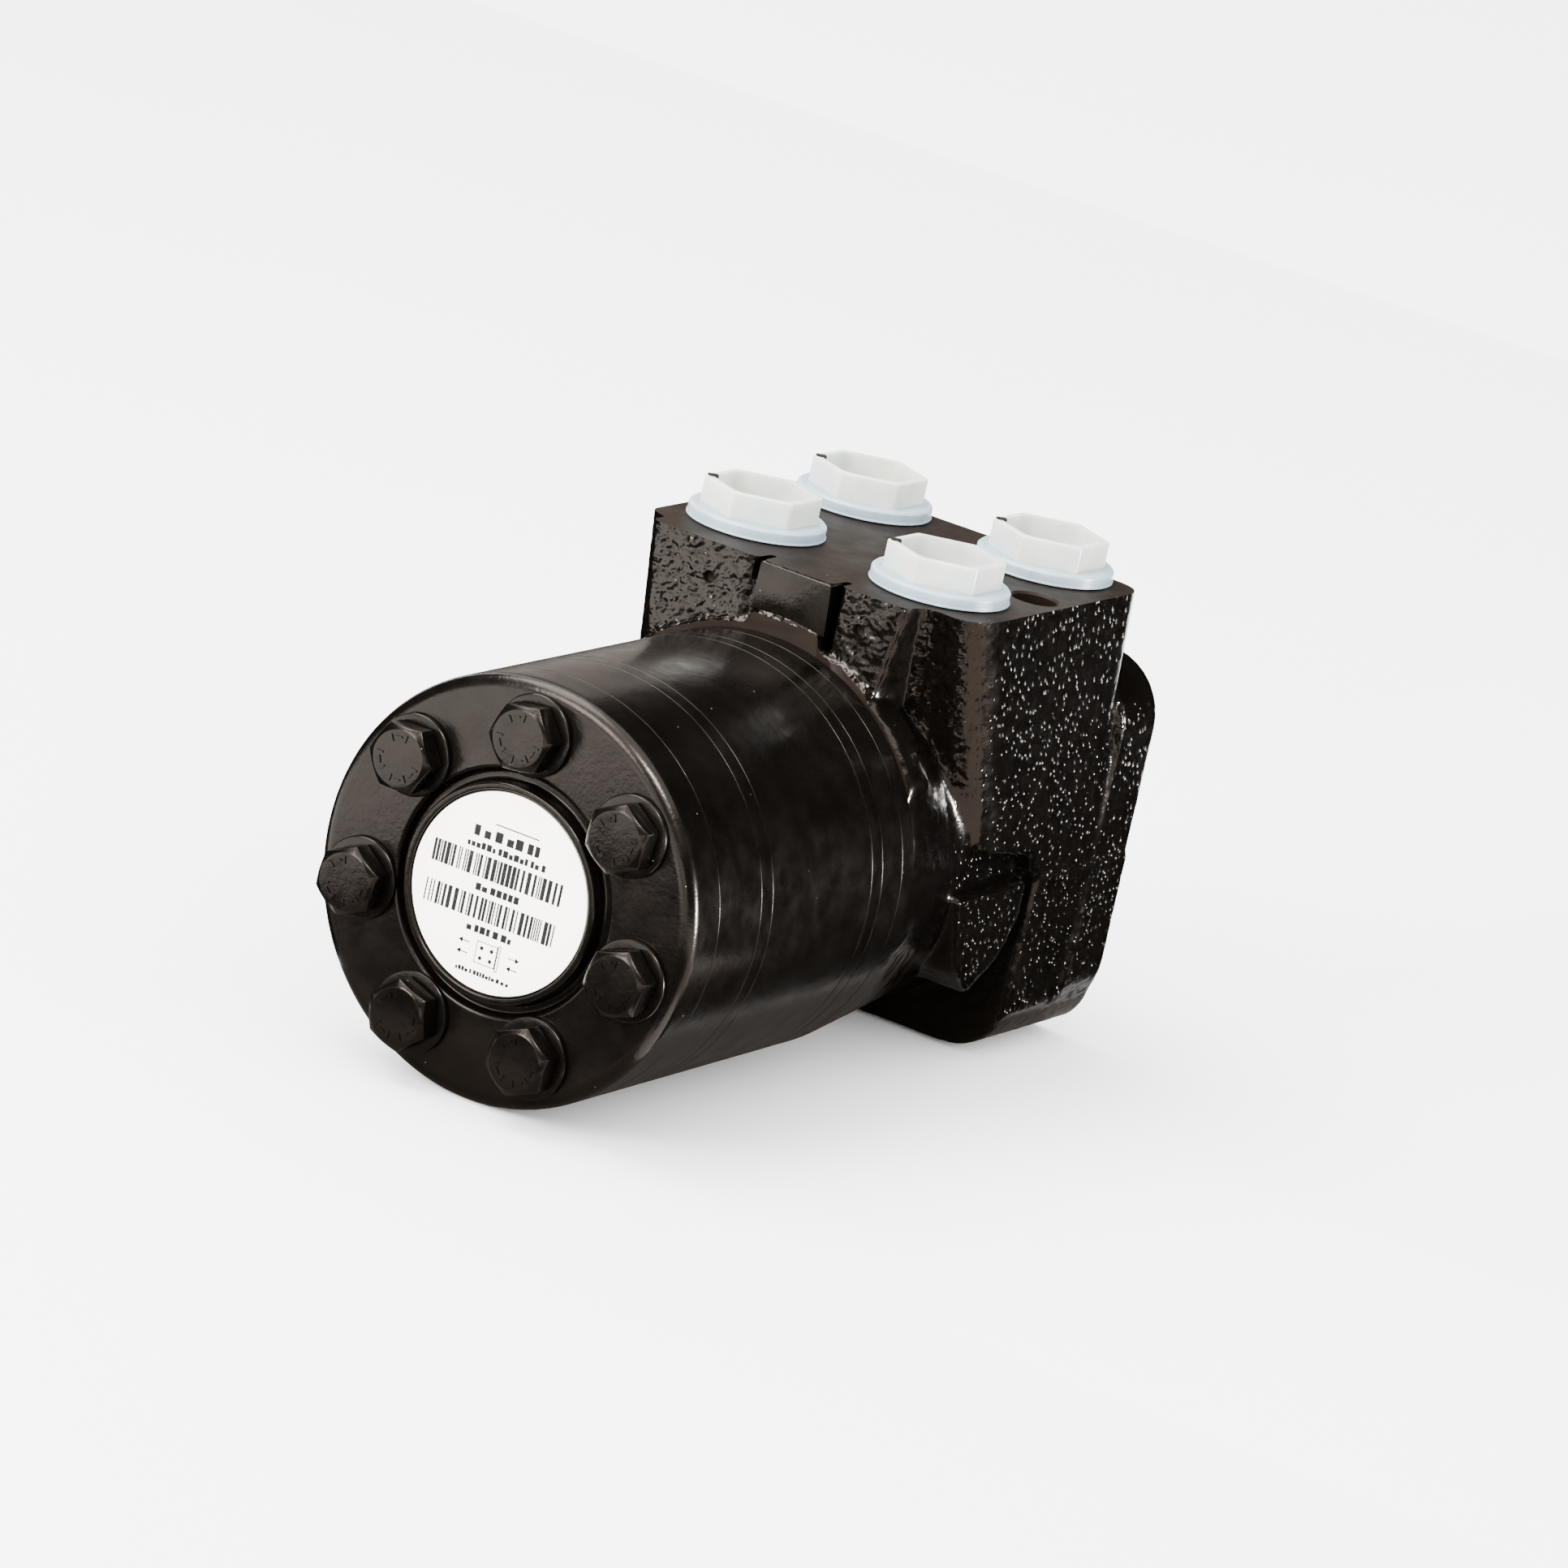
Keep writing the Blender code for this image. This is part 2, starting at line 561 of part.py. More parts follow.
def housing_bores():
    face = PORT_FACE_H
    tools = [block("housing_milling", (-60, Y_HOUSING - 5, face), (60, Y_REAR + 5, face + 20), 0, CUTTERS)]
    shoulder = Y_BORE_END - Y_HOUSING
    bore = turned("housing_bore", [(0, HOUSING_L + 2), (17.0, HOUSING_L + 2), (17.0, HOUSING_L - 6),
                  (13.4, HOUSING_L - 6), (13.4, shoulder + 5), (17.9, shoulder + 5), (17.9, shoulder),
                  (SLEEVE_R + GAP, shoulder), (SLEEVE_R + GAP, -2), (0, -2)], closed=False, group=CUTTERS)
    tools.append(along_y(bore, 0, Y_HOUSING, 0))
    groove = ring("housing_ring_groove", GROOVE[1], GROOVE[0], GROOVE[2] + 1, SEGMENTS, CUTTERS)
    tools.append(along_y(groove, 0, Y_HOUSING - 1, 0))
    screw_holes = prism("housing_screw_holes", screw_hole_outlines(), 16, CUTTERS)
    tools.append(along_y(screw_holes, 0, Y_HOUSING - 1, 0))
    for sx in (-1, 1):
        for k, offset in enumerate(PORT_Y):
            x, y = sx * PORT_X, Y_HOUSING + offset
            tools.append(drill(f"housing_port_{sx}_{k}", PORT_R, (x, y, face - PORT_DEPTH), (x, y, face + 1)))
            tools.append(drill(f"housing_passage_{sx}_{k}", 3.0, (sx * 8, y, 10), (x, y, face - PORT_DEPTH + 1), 10))
            hole = COLUMN_HOLE_CIRCLE_R * cos(pi / 4)
            z = (2 * k - 1) * hole
            tools.append(drill(f"housing_column_hole_{sx}_{k}", M10_R, (sx * hole, Y_REAR - 15, z),
                               (sx * hole, Y_REAR + 1, z), 12))
        tools.append(drill(f"housing_face_hole_{sx}", M10_R + 0.6, (sx * FACE_HOLE_X, FACE_HOLE_Y, face - 14),
                           (sx * FACE_HOLE_X, FACE_HOLE_Y, face + 1), 12))
        dimple = (sx * 18.5, Y_HOUSING, 51)
        tools.append(drill(f"housing_dimple_{sx}", 1.4, (dimple[0], Y_HOUSING - 1, 51),
                           (dimple[0], Y_HOUSING + 1.5, 51), 8))
    x, y = PORT_X, Y_HOUSING + PORT_Y[0]
    tools.append(drill("housing_check_bore", 5.7, (x, y, CHECK_SEAT_Z), (x, y, face - 2), 16))
    return tools


# ---------------------------------------------------------------- ports and small valves

def port_plug(name, x, y, mat):
    """Hollow shipping plug: round flange, hexagon head with a cavity, stem in the port."""
    flange_t, head_top, head_r = 2.7, 8.3, 12.7
    base = PORT_FACE_H + GAP
    plug = turned(name, [(0, flange_t), (14.0, flange_t), (14.75, flange_t - 0.7), (14.75, 0), (PORT_R - 0.5, 0),
                  (PORT_R - 0.7, -10), (0, -10)], closed=False, steps=20)
    plug.location = place(x, y, base)
    plug.rotation_euler = Euler((0, 0, pi / 2))
    hexagon = disc(f"{name}_head", head_r, head_top - 1, 6, CUTTERS)
    hexagon.location = place(x, y, base + 1)
    hexagon.rotation_euler = Euler((0, 0, pi / 2))
    cavity = turned(f"{name}_cavity", [(0, 14), (9.4, 14), (9.4, 1.5), (6.9, 0.4), (6.9, -6), (0, -6)],
                    closed=False, steps=16, group=CUTTERS)
    cavity.location = place(x, y, base)
    join(plug, hexagon)
    return finish(cut(plug, cavity), mat)


def check_valve(ball_mat, bush_mat):
    x, y = PORT_X, Y_HOUSING + PORT_Y[0]
    mesh = bpy.data.meshes.new("check_ball")
    shape = bmesh.new()
    bmesh.ops.create_uvsphere(shape, u_segments=12, v_segments=8, radius=4.2 * MM)
    shape.to_mesh(mesh)
    shape.free()
    ball = link(bpy.data.objects.new("check_ball", mesh))
    ball.location = place(x, y, CHECK_SEAT_Z + 4.2 + GAP)
    finish(ball, ball_mat)
    bushing = ring("check_bushing", 5.4, 2.6, 2.4, 16)
    bushing.location = place(x, y, PORT_FACE_H - PORT_DEPTH - 2.6)
    finish(bushing, bush_mat)


def changeover_valve(steel, spring_steel):
    """Pressure-operated spool that joins or parts the two gear sets, with its return spring."""
    x, z = CHANGEOVER_PLACE
    front = Y_VALVE_BODY + 1.0
    length = 26.0
    profile = [(1.0, length - 14), (2.9, length - 14), (2.9, length), (CHANGEOVER_R, length),
               (CHANGEOVER_R, 17), (3.0, 16.5), (3.0, 11.5), (CHANGEOVER_R, 11), (CHANGEOVER_R, 0), (1.0, 0)]
    profile = profile[3:] + profile[:3]
    along_y(finish(turned("changeover_spool", profile, steps=16), steel), x, front, z)
    coils, wire, radius, tail = 5.5, 0.45, 2.2, 17.0
    curve = bpy.data.curves.new("changeover_spring", "CURVE")
    curve.dimensions = "3D"
    curve.bevel_depth = wire * MM
    curve.bevel_resolution = 0
    curve.resolution_u = 1
    curve.use_fill_caps = True
    line = curve.splines.new("POLY")
    count = int(coils * 10)
    line.points.add(count)
    for i, point in enumerate(line.points):
        turn = 2 * pi * i / 10
        point.co = (radius * cos(turn) * MM, radius * sin(turn) * MM, tail * i / count * MM, 1)
    spring = solid_from_curve("changeover_spring", curve)
    spring_front = Y_REAR_PLATE - tail - 1.2
    along_y(finish(spring, spring_steel), x, spring_front, z)


# ---------------------------------------------------------------- assembly

CHANGEOVER_ANGLE = radians(90 - 1.5 * 360 / SCREW_COUNT)
CHANGEOVER_PLACE = (23.5 * cos(CHANGEOVER_ANGLE), 23.5 * sin(CHANGEOVER_ANGLE))
SPRING_Y = Y_CROSS_PIN + 13.5
FACE_HOLE_X = 35.0
FACE_HOLE_Y = Y_HOUSING + 43.2
CHECK_SEAT_Z = 30.0


def build():
    paint = material("gloss_black_paint", BLACK_PAINT, 0.28, 0.0)
    cast = material("cast_black_paint", CAST_PAINT, 0.42, 0.0)
    ground = material("ground_steel", GROUND_STEEL, 0.30, 1.0)
    hard = material("hardened_steel", DARK_STEEL, 0.35, 1.0)
    plastic = material("plug_plastic", PLUG_WHITE, 0.35, 0.0)
    label = material("label_film", LABEL_CREAM, 0.45, 0.0)
    rubber = material("seal_rubber", SEAL_RUBBER, 0.6, 0.0)

    end_cover(paint)
    name_plate(label)
    for k, angle in enumerate(SCREW_ANGLES, 1):
        cover_screw(k, angle, paint)
        cover_washer(k, angle, paint)
    gear_rim("gear_rim_large", Y_LARGE_SET, LARGE_SET_W, paint)
    gear_rim("gear_rim_small", Y_SMALL_SET, SMALL_SET_W, paint)
    drilled_plate("front_channel_plate", 11.5, Y_FRONT_PLATE, FRONT_PLATE_T, True, False, paint)
    drilled_plate("rear_channel_plate", 11.5, Y_REAR_PLATE, REAR_PLATE_T, False, True, paint)
    drilled_plate("distributor_plate", 13.0, Y_DISTRIBUTOR, DISTRIBUTOR_T, True, False, paint)
    body = drilled_plate("changeover_body", 11.5, Y_VALVE_BODY, VALVE_BODY_W, True, True, paint)
    x, z = CHANGEOVER_PLACE
    cut(body, drill("changeover_bore", CHANGEOVER_R + GAP, (x, Y_VALVE_BODY - 3, z), (x, Y_HOUSING - 5, z), 14))
    changeover_valve(ground, hard)
    ring_depth = GROOVE[2] / 2
    seams = (Y_LARGE_SET - GAP - ring_depth, Y_FRONT_PLATE + ring_depth, Y_VALVE_BODY + ring_depth,
             Y_REAR_PLATE - GAP - ring_depth, Y_SMALL_SET - GAP - ring_depth, Y_DISTRIBUTOR + ring_depth,
             Y_HOUSING + ring_depth)
    for k, y in enumerate(seams, 1):
        o_ring(k, y, rubber)
    housing(cast)

    steering = axis_empty("steering_axis", 0, Y_CROSS_PIN, 0)
    orbit = child_of(axis_empty("orbit_axis", 0, Y_SMALL_SET, 0), steering)
    rotor_axis = child_of(axis_empty("rotor_axis", 0, Y_SMALL_SET, -ECCENTRIC), orbit)
    for part in (rotor("rotor_large", Y_LARGE_SET, LARGE_SET_W, ground),
                 rotor("rotor_small", Y_SMALL_SET, SMALL_SET_W, ground),
                 link_shaft(hard)):
        child_of(part, rotor_axis)
    spacer = along_y(disc("rotor_spacer", 6.1, 3.2, SMALL_SEGMENTS), 0, Y_LARGE_SET + 0.4, -ECCENTRIC)
    child_of(finish(spacer, hard), orbit)
    child_of(cardan_shaft(hard), orbit)
    for part in (sleeve(ground), spool(ground), cross_pin(hard), spring_leaf("spring_leaf_upper", 1, hard),
                 spring_leaf("spring_leaf_lower", -1, hard)):
        child_of(part, steering)

    stage = Y_BORE_END - 5.0
    along_y(finish(ring("bearing_race_front", SLEEVE_R - 0.1, SPOOL_R + 0.4, 1.0, 24), ground), 0, stage, 0)
    bearing_needles(stage + 1.3, hard)
    along_y(finish(ring("bearing_race_rear", SLEEVE_R - 0.1, SPOOL_R + 0.4, 1.0, 24), ground), 0, stage + 3.7, 0)
    along_y(finish(ring("shaft_seal", 17.5, SPOOL_R + 0.4, 4.2, 24), rubber), 0, Y_BORE_END + 0.4, 0)
    along_y(finish(ring("dust_seal", 16.6, 13.1, 4.8, 24), rubber), 0, Y_REAR - 5.5, 0)

    names = (("port_plug_left", -1, 0), ("port_plug_right", -1, 1), ("port_plug_pressure", 1, 0),
             ("port_plug_tank", 1, 1))
    for name, side, row in names:
        port_plug(name, side * PORT_X, Y_HOUSING + PORT_Y[row], plastic)
    check_valve(hard, ground)


clear_scene()
PARTS = new_collection("steering_unit")
CUTTERS = new_collection("cutters")
SCREW_HOLES = along_y(prism("screw_holes", screw_hole_outlines(), 120, CUTTERS), 0, -8, 0)
build()
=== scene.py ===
"""Looks of the orbital steering unit: painted casting, turned plates, screws, label and plugs.

Lengths are in millimetres, x and z from the shaft axis and y from the cover's flat face,
and become metres in the row frame where a mesh is made.
"""

import json
import random
from math import acos, atan2, cos, pi, radians, sin, tan

import bmesh
import bpy
from mathutils import Matrix, Vector, noise


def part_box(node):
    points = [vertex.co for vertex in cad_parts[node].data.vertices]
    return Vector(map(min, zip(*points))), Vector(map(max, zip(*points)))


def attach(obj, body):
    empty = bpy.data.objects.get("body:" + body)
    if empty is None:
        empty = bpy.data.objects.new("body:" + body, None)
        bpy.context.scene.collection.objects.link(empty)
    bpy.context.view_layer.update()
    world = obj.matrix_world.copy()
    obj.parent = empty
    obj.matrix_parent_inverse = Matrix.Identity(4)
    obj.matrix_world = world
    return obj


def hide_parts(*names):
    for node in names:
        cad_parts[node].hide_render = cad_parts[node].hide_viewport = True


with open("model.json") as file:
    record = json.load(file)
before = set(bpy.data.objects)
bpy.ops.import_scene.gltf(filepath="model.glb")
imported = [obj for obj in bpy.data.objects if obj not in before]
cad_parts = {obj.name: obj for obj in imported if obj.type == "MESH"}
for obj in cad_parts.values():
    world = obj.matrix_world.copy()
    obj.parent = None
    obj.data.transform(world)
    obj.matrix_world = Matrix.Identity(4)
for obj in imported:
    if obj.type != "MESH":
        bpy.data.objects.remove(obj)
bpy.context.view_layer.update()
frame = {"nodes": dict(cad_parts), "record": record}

MM = 0.001
GAP = 0.3                      # clearance that the CAD keeps between touching pieces
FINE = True

# ---------------------------------------------------------------- places read from the frame

rim_low, rim_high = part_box("gear_rim_large")
BODY_R = (rim_high[0] - rim_low[0]) / 2 / MM
AXIS_X = (rim_high[0] + rim_low[0]) / 2
AXIS_Z = (rim_high[2] + rim_low[2]) / 2
FACE_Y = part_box("cover_washer_1")[1][1] + GAP * MM
CASING = "casing"


def span(node):
    """Front and rear of a node along the shaft, in millimetres from the cover's face."""
    low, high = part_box(node)
    return (low[1] - FACE_Y) / MM, (high[1] - FACE_Y) / MM


def middle(node):
    """Centre of a node across the shaft, in millimetres from the axis."""
    low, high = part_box(node)
    return ((low[0] + high[0]) / 2 - AXIS_X) / MM, ((low[2] + high[2]) / 2 - AXIS_Z) / MM


SCREW_COUNT = 7
SCREW_ANGLES = [radians(90 + k * 360 / SCREW_COUNT) for k in range(SCREW_COUNT)]
SCREW_CIRCLE_R = middle("cover_screw_1")[1]
SCREW_HOLE_R = 4.5
Y_HEADS = span("cover_screw_1")[0]
Y_HOUSING = span("distributor_plate")[1] + GAP
Y_REAR = (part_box("housing")[1][1] - FACE_Y) / MM
PLUG_NODES = ("port_plug_left", "port_plug_right", "port_plug_pressure", "port_plug_tank")
PORT_FACE_H = 58.5
PORT_R = 8.8
PORT_X = abs(middle(PLUG_NODES[0])[0])
PORT_YS = [sum(span(node)) / 2 for node in PLUG_NODES[:2]]
FACE_HOLE_X = 35.0
FACE_HOLE_Y = Y_HOUSING + 43.2
COLUMN_HOLE = 41.25 * cos(pi / 4)


def place(x, y, z):
    """Row-frame position of a point given from the shaft axis and the cover's flat face."""
    return Vector((AXIS_X + x * MM, FACE_Y + y * MM, AXIS_Z + z * MM))


# ---------------------------------------------------------------- mesh helpers

ALONG_Y = Matrix.Rotation(-pi / 2, 4, "X")
UPRIGHT = Matrix.Identity(4)


def show(name, mesh):
    obj = bpy.data.objects.new(name, mesh)
    bpy.context.scene.collection.objects.link(obj)
    return obj


def face_outward(mesh):
    shape = bmesh.new()
    shape.from_mesh(mesh)
    bmesh.ops.recalc_face_normals(shape, faces=shape.faces)
    shape.to_mesh(mesh)
    shape.free()
    return mesh


def mesh_object(name, points, faces):
    """A mesh in millimetres about its own origin, with its faces turned outward."""
    mesh = bpy.data.meshes.new(name)
    mesh.from_pydata([tuple(v * MM for v in point) for point in points], [], faces)
    return show(name, face_outward(mesh))


def rounded(corners, steps=5):
    """A closed outline whose corners (x, y, radius) are rounded by arcs."""
    points = []
    for i, (x, y, radius) in enumerate(corners):
        here = Vector((x, y))
        if radius == 0:
            points.append((x, y))
            continue
        before = Vector(corners[i - 1][:2]) - here
        after = Vector(corners[(i + 1) % len(corners)][:2]) - here
        half = before.angle(after) / 2
        reach = radius / tan(half)
        centre = here + (before.normalized() + after.normalized()).normalized() * radius / sin(half)
        first = here + before.normalized() * reach - centre
        last = here + after.normalized() * reach - centre
        start = atan2(first.y, first.x)
        sweep = (atan2(last.y, last.x) - start + pi) % (2 * pi) - pi
        for k in range(steps + 1):
            turn = start + sweep * k / steps
            points.append((centre.x + radius * cos(turn), centre.y + radius * sin(turn)))
    return points


FINE_TURN = 96                 # turned pieces of more steps than this are seen close up


def held(profile, reach=0.12, least=0.9):
    """Extra points beside the ends of long straight runs, which keep their shading flat."""
    points = []
    for (ra, za), (rb, zb) in zip(profile, profile[1:] + profile[:1]):
        points.append((ra, za))
        length = ((rb - ra) ** 2 + (zb - za) ** 2) ** 0.5
        if length > least and max(ra, rb) > 0:
            share = reach / length
            points.append((ra + (rb - ra) * share, za + (zb - za) * share))
            points.append((rb - (rb - ra) * share, zb - (zb - za) * share))
    return points


def lathe(name, profile, steps=192):
    """A closed profile of (radius, height) points turned about own Z."""
    points, rings = [], []
    for radius, height in held(profile) if steps > FINE_TURN else profile:
        if radius < 1e-6:
            rings.append([len(points)])
            points.append((0, 0, height))
            continue
        rings.append(list(range(len(points), len(points) + steps)))
        points += [(radius * cos(2 * pi * k / steps), radius * sin(2 * pi * k / steps), height)
                   for k in range(steps)]
    faces = []
    for here, there in zip(rings, rings[1:] + rings[:1]):
        for k in range(steps):
            after = (k + 1) % steps
            if len(here) > 1 and len(there) > 1:
                faces.append((here[k], here[after], there[after], there[k]))
            elif len(here) > 1:
                faces.append((here[k], here[after], there[0]))
            elif len(there) > 1:
                faces.append((here[0], there[after], there[k]))
    return mesh_object(name, points, faces)


def slab(name, outline, low, high):
    """A flat outline made a solid from height low to high."""
    count = len(outline)
    points = [(x, y, low) for x, y in outline] + [(x, y, high) for x, y in outline]
    faces = [tuple(range(count))[::-1], tuple(range(count, 2 * count))]
    faces += [(k, (k + 1) % count, (k + 1) % count + count, k + count) for k in range(count)]
    return mesh_object(name, points, faces)


def circle(radius, steps=32, x=0.0, y=0.0):
    turns = [2 * pi * k / steps for k in range(steps)]
    return [(x + radius * cos(turn), y + radius * sin(turn)) for turn in turns]


def seat(obj, x, y, z, turn=ALONG_Y, spin=0.0):
    """Moves the mesh so that its own origin is at the point and its own Z runs along +Y."""
    obj.data.transform(Matrix.Translation(place(x, y, z)) @ turn @ Matrix.Rotation(spin, 4, "Z"))
    return obj


def settle(obj):
    """Replaces the mesh with the one that the modifiers make."""
    bpy.context.view_layer.update()
    graph = bpy.context.evaluated_depsgraph_get()
    mesh = bpy.data.meshes.new_from_object(obj.evaluated_get(graph), depsgraph=graph)
    obj.modifiers.clear()
    obj.data = mesh
    return obj


def bevel(obj, width, segments=3, angle=30):
    edge = obj.modifiers.new("edge", "BEVEL")
    edge.width = width * MM
    edge.segments = segments
    edge.limit_method = "ANGLE"
    edge.angle_limit = radians(angle)
    edge.harden_normals = False
    return settle(obj)


def combine(obj, other, operation):
    """Exact union, difference or intersection, whose new faces keep the tool's material."""
    tool = obj.modifiers.new("combine", "BOOLEAN")
    tool.operation = operation
    tool.solver = "EXACT"
    tool.object = other
    tool.material_mode = "TRANSFER"
    settle(obj)
    bpy.data.objects.remove(other, do_unlink=True)
    return obj


def gather(name, objects):
    """Puts several meshes in one object, as overlapping or separate shells."""
    shape = bmesh.new()
    for obj in objects:
        shape.from_mesh(obj.data)
    mesh = bpy.data.meshes.new(name)
    shape.to_mesh(mesh)
    shape.free()
    materials = list(objects[0].data.materials)
    for obj in objects:
        bpy.data.objects.remove(obj, do_unlink=True)
    for mat in materials:
        mesh.materials.append(mat)
    return show(name, mesh)


def smooth(obj, angle=30):
    obj.data.shade_smooth()
    obj.data.set_sharp_from_angle(angle=radians(angle))
    return obj


def coat(obj, mat):
    obj.data.materials.clear()
    obj.data.materials.append(mat)
    return obj


def stand_for(obj, nodes, body):
    """Hides the CAD nodes that the piece shows in their place, and hangs the piece under the empty of the
    body it moves with.
    """
    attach(obj, body)
    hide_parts(*nodes)
    return obj


# ---------------------------------------------------------------- materials

class Finish:
    """A Principled material with short calls for its texture nodes."""

    def __init__(self, name, color, roughness, metallic=0.0, ior=1.5):
        self.mat = bpy.data.materials.new(name)
        self.mat.use_nodes = True
        self.nodes = self.mat.node_tree.nodes
        self.links = self.mat.node_tree.links
        self.shader = self.nodes["Principled BSDF"]
        self.set("Base Color", (*color, 1))
        self.set("Roughness", roughness)
        self.set("Metallic", metallic)
        self.set("IOR", ior)
        source = self.nodes.new("ShaderNodeTexCoord")
        self.coords = source.outputs["Object"]
        self.facing = source.outputs["Normal"]
        self.last_bump = None

    def set(self, name, value):
        self.shader.inputs[name].default_value = value

    def link(self, output, target):
        self.links.new(output, target)
        return output

    def stretched(self, scale, turn=(0, 0, 0)):
        mapping = self.nodes.new("ShaderNodeMapping")
        mapping.inputs["Scale"].default_value = scale
        mapping.inputs["Rotation"].default_value = turn
        self.link(self.coords, mapping.inputs["Vector"])
        return mapping.outputs["Vector"]

    def noise(self, size, detail=3.0, coords=None):
        """Soft noise with features of about size millimetres."""
        node = self.nodes.new("ShaderNodeTexNoise")
        node.inputs["Scale"].default_value = 1 / (size * MM)
        node.inputs["Detail"].default_value = detail
        self.link(coords or self.coords, node.inputs["Vector"])
        return node.outputs["Fac"]

    def cells(self, size, coords=None):
        node = self.nodes.new("ShaderNodeTexVoronoi")
        node.inputs["Scale"].default_value = 1 / (size * MM)
        self.link(coords or self.coords, node.inputs["Vector"])
        return node.outputs["Distance"]

    def ramp(self, source, low, high, from_value=0.0, to_value=1.0):
        node = self.nodes.new("ShaderNodeMapRange")
        node.inputs["From Min"].default_value = low
        node.inputs["From Max"].default_value = high
        node.inputs["To Min"].default_value = from_value
        node.inputs["To Max"].default_value = to_value
        self.link(source, node.inputs["Value"])
        return node.outputs["Result"]

    def along(self, axis, vector, low, high):
        """Rises from 0 to 1 as the vector's part along the axis goes from low to high."""
        parts = self.nodes.new("ShaderNodeSeparateXYZ")
        self.link(vector, parts.inputs[0])
        return self.ramp(parts.outputs[axis], low, high)

    def sideways(self, vector, low, high):
        """Rises from 0 to 1 as the size of the vector's x grows from low to high."""
        parts = self.nodes.new("ShaderNodeSeparateXYZ")
        self.link(vector, parts.inputs[0])
        size = self.nodes.new("ShaderNodeMath")
        size.operation = "ABSOLUTE"
        self.link(parts.outputs["X"], size.inputs[0])
        return self.ramp(size.outputs["Value"], low, high)

    def multiply(self, first, second):
        node = self.nodes.new("ShaderNodeMath")
        node.operation = "MULTIPLY"
        self.link(first, node.inputs[0])
        self.link(second, node.inputs[1])
        return node.outputs["Value"]

    def blend(self, factor, first, second):
        """Mixes two colours, each a tuple or an output."""
        node = self.nodes.new("ShaderNodeMix")
        node.data_type = "RGBA"
        self.link(factor, node.inputs["Factor"])
        for socket, value in ((node.inputs[6], first), (node.inputs[7], second)):
            if isinstance(value, tuple):
                socket.default_value = (*value, 1)
            else:
                self.link(value, socket)
        return node.outputs[2]

    def bump(self, height, depth, strength=1.0):
        """Adds relief of depth millimetres on top of the relief before it."""
        node = self.nodes.new("ShaderNodeBump")
        node.inputs["Strength"].default_value = strength
        node.inputs["Distance"].default_value = depth * MM
        self.link(height, node.inputs["Height"])
        if self.last_bump:
            self.link(self.last_bump, node.inputs["Normal"])
        self.last_bump = node.outputs["Normal"]
        self.link(self.last_bump, self.shader.inputs["Normal"])

    def paint_color(self, output):
        self.link(output, self.shader.inputs["Base Color"])

    def paint_roughness(self, output):
        self.link(output, self.shader.inputs["Roughness"])


BLACK = (0.0010, 0.0008, 0.0006)
DUST = (0.16, 0.145, 0.13)
SHEEN_TINT = (1.0, 0.86, 0.75, 1.0)


def speckled(finish, base, speck_cell=3.2, speck_size=0.045):
    """Base colour with cloudy variation and sparse dust specks."""
    cloud = finish.noise(14, 2)
    color = finish.blend(finish.ramp(cloud, 0.3, 0.7), base, tuple(v * 1.7 for v in base))
    specks = finish.ramp(finish.cells(speck_cell), speck_size, speck_size * 0.6)
    sparse = finish.ramp(finish.noise(9, 1), 0.56, 0.6)
    dust = finish.multiply(specks, sparse)
    finish.paint_color(finish.blend(dust, color, DUST))
    return dust


def gloss_paint():
    finish = Finish("gloss_black_finish", BLACK, 0.2, 0.0, 1.255)
    finish.set("Specular Tint", SHEEN_TINT)
    speckled(finish, BLACK)
    finish.paint_roughness(finish.ramp(finish.noise(5, 3), 0.3, 0.7, 0.17, 0.27))
    finish.bump(finish.noise(0.55, 1), 0.022)
    finish.bump(finish.noise(1.4, 1), 0.03)
    return finish.mat


BEHIND_NECK = (0.019, 0.024)   # row frame: the flank's dents fade in between these two, along Y
ABOVE_NECK = (0.056, 0.066)    # the front bosses' lumps fade in between these two, along Z
AT_PARTING = (0.042, 0.0435)   # the dents change their length across the parting line, along Z


def cast_paint():
    """Paint on the sand-cast skin: long dents on the flanks and soft lumps on the front bosses."""
    finish = Finish("cast_black_finish", BLACK, 0.25, 0.0, 1.29)
    finish.set("Specular Tint", SHEEN_TINT)
    speckled(finish, BLACK, 2.6)
    finish.paint_roughness(finish.ramp(finish.noise(3, 3), 0.3, 0.7, 0.13, 0.22))
    flank = finish.sideways(finish.facing, 0.72, 0.97)
    beside = finish.multiply(flank, finish.along("Y", finish.coords, *BEHIND_NECK))
    for height, zone in ((0.55, AT_PARTING), (0.8, AT_PARTING[::-1])):
        skin = finish.stretched((1.0, 1.0, height), (radians(18), 0, 0))
        dent = finish.ramp(finish.cells(1.3, skin), 0.06, 0.29)
        part = finish.multiply(beside, finish.along("Z", finish.coords, *zone))
        finish.bump(finish.multiply(dent, part), 0.19)
    front = finish.along("Y", finish.facing, -0.55, -0.85)
    ahead = finish.multiply(front, finish.along("Z", finish.coords, *ABOVE_NECK))
    finish.bump(finish.multiply(finish.noise(2.2, 1.0), ahead), 0.7)
    finish.bump(finish.noise(0.7, 1), 0.04)
    finish.bump(finish.noise(2.4, 1), 0.08)
    return finish.mat


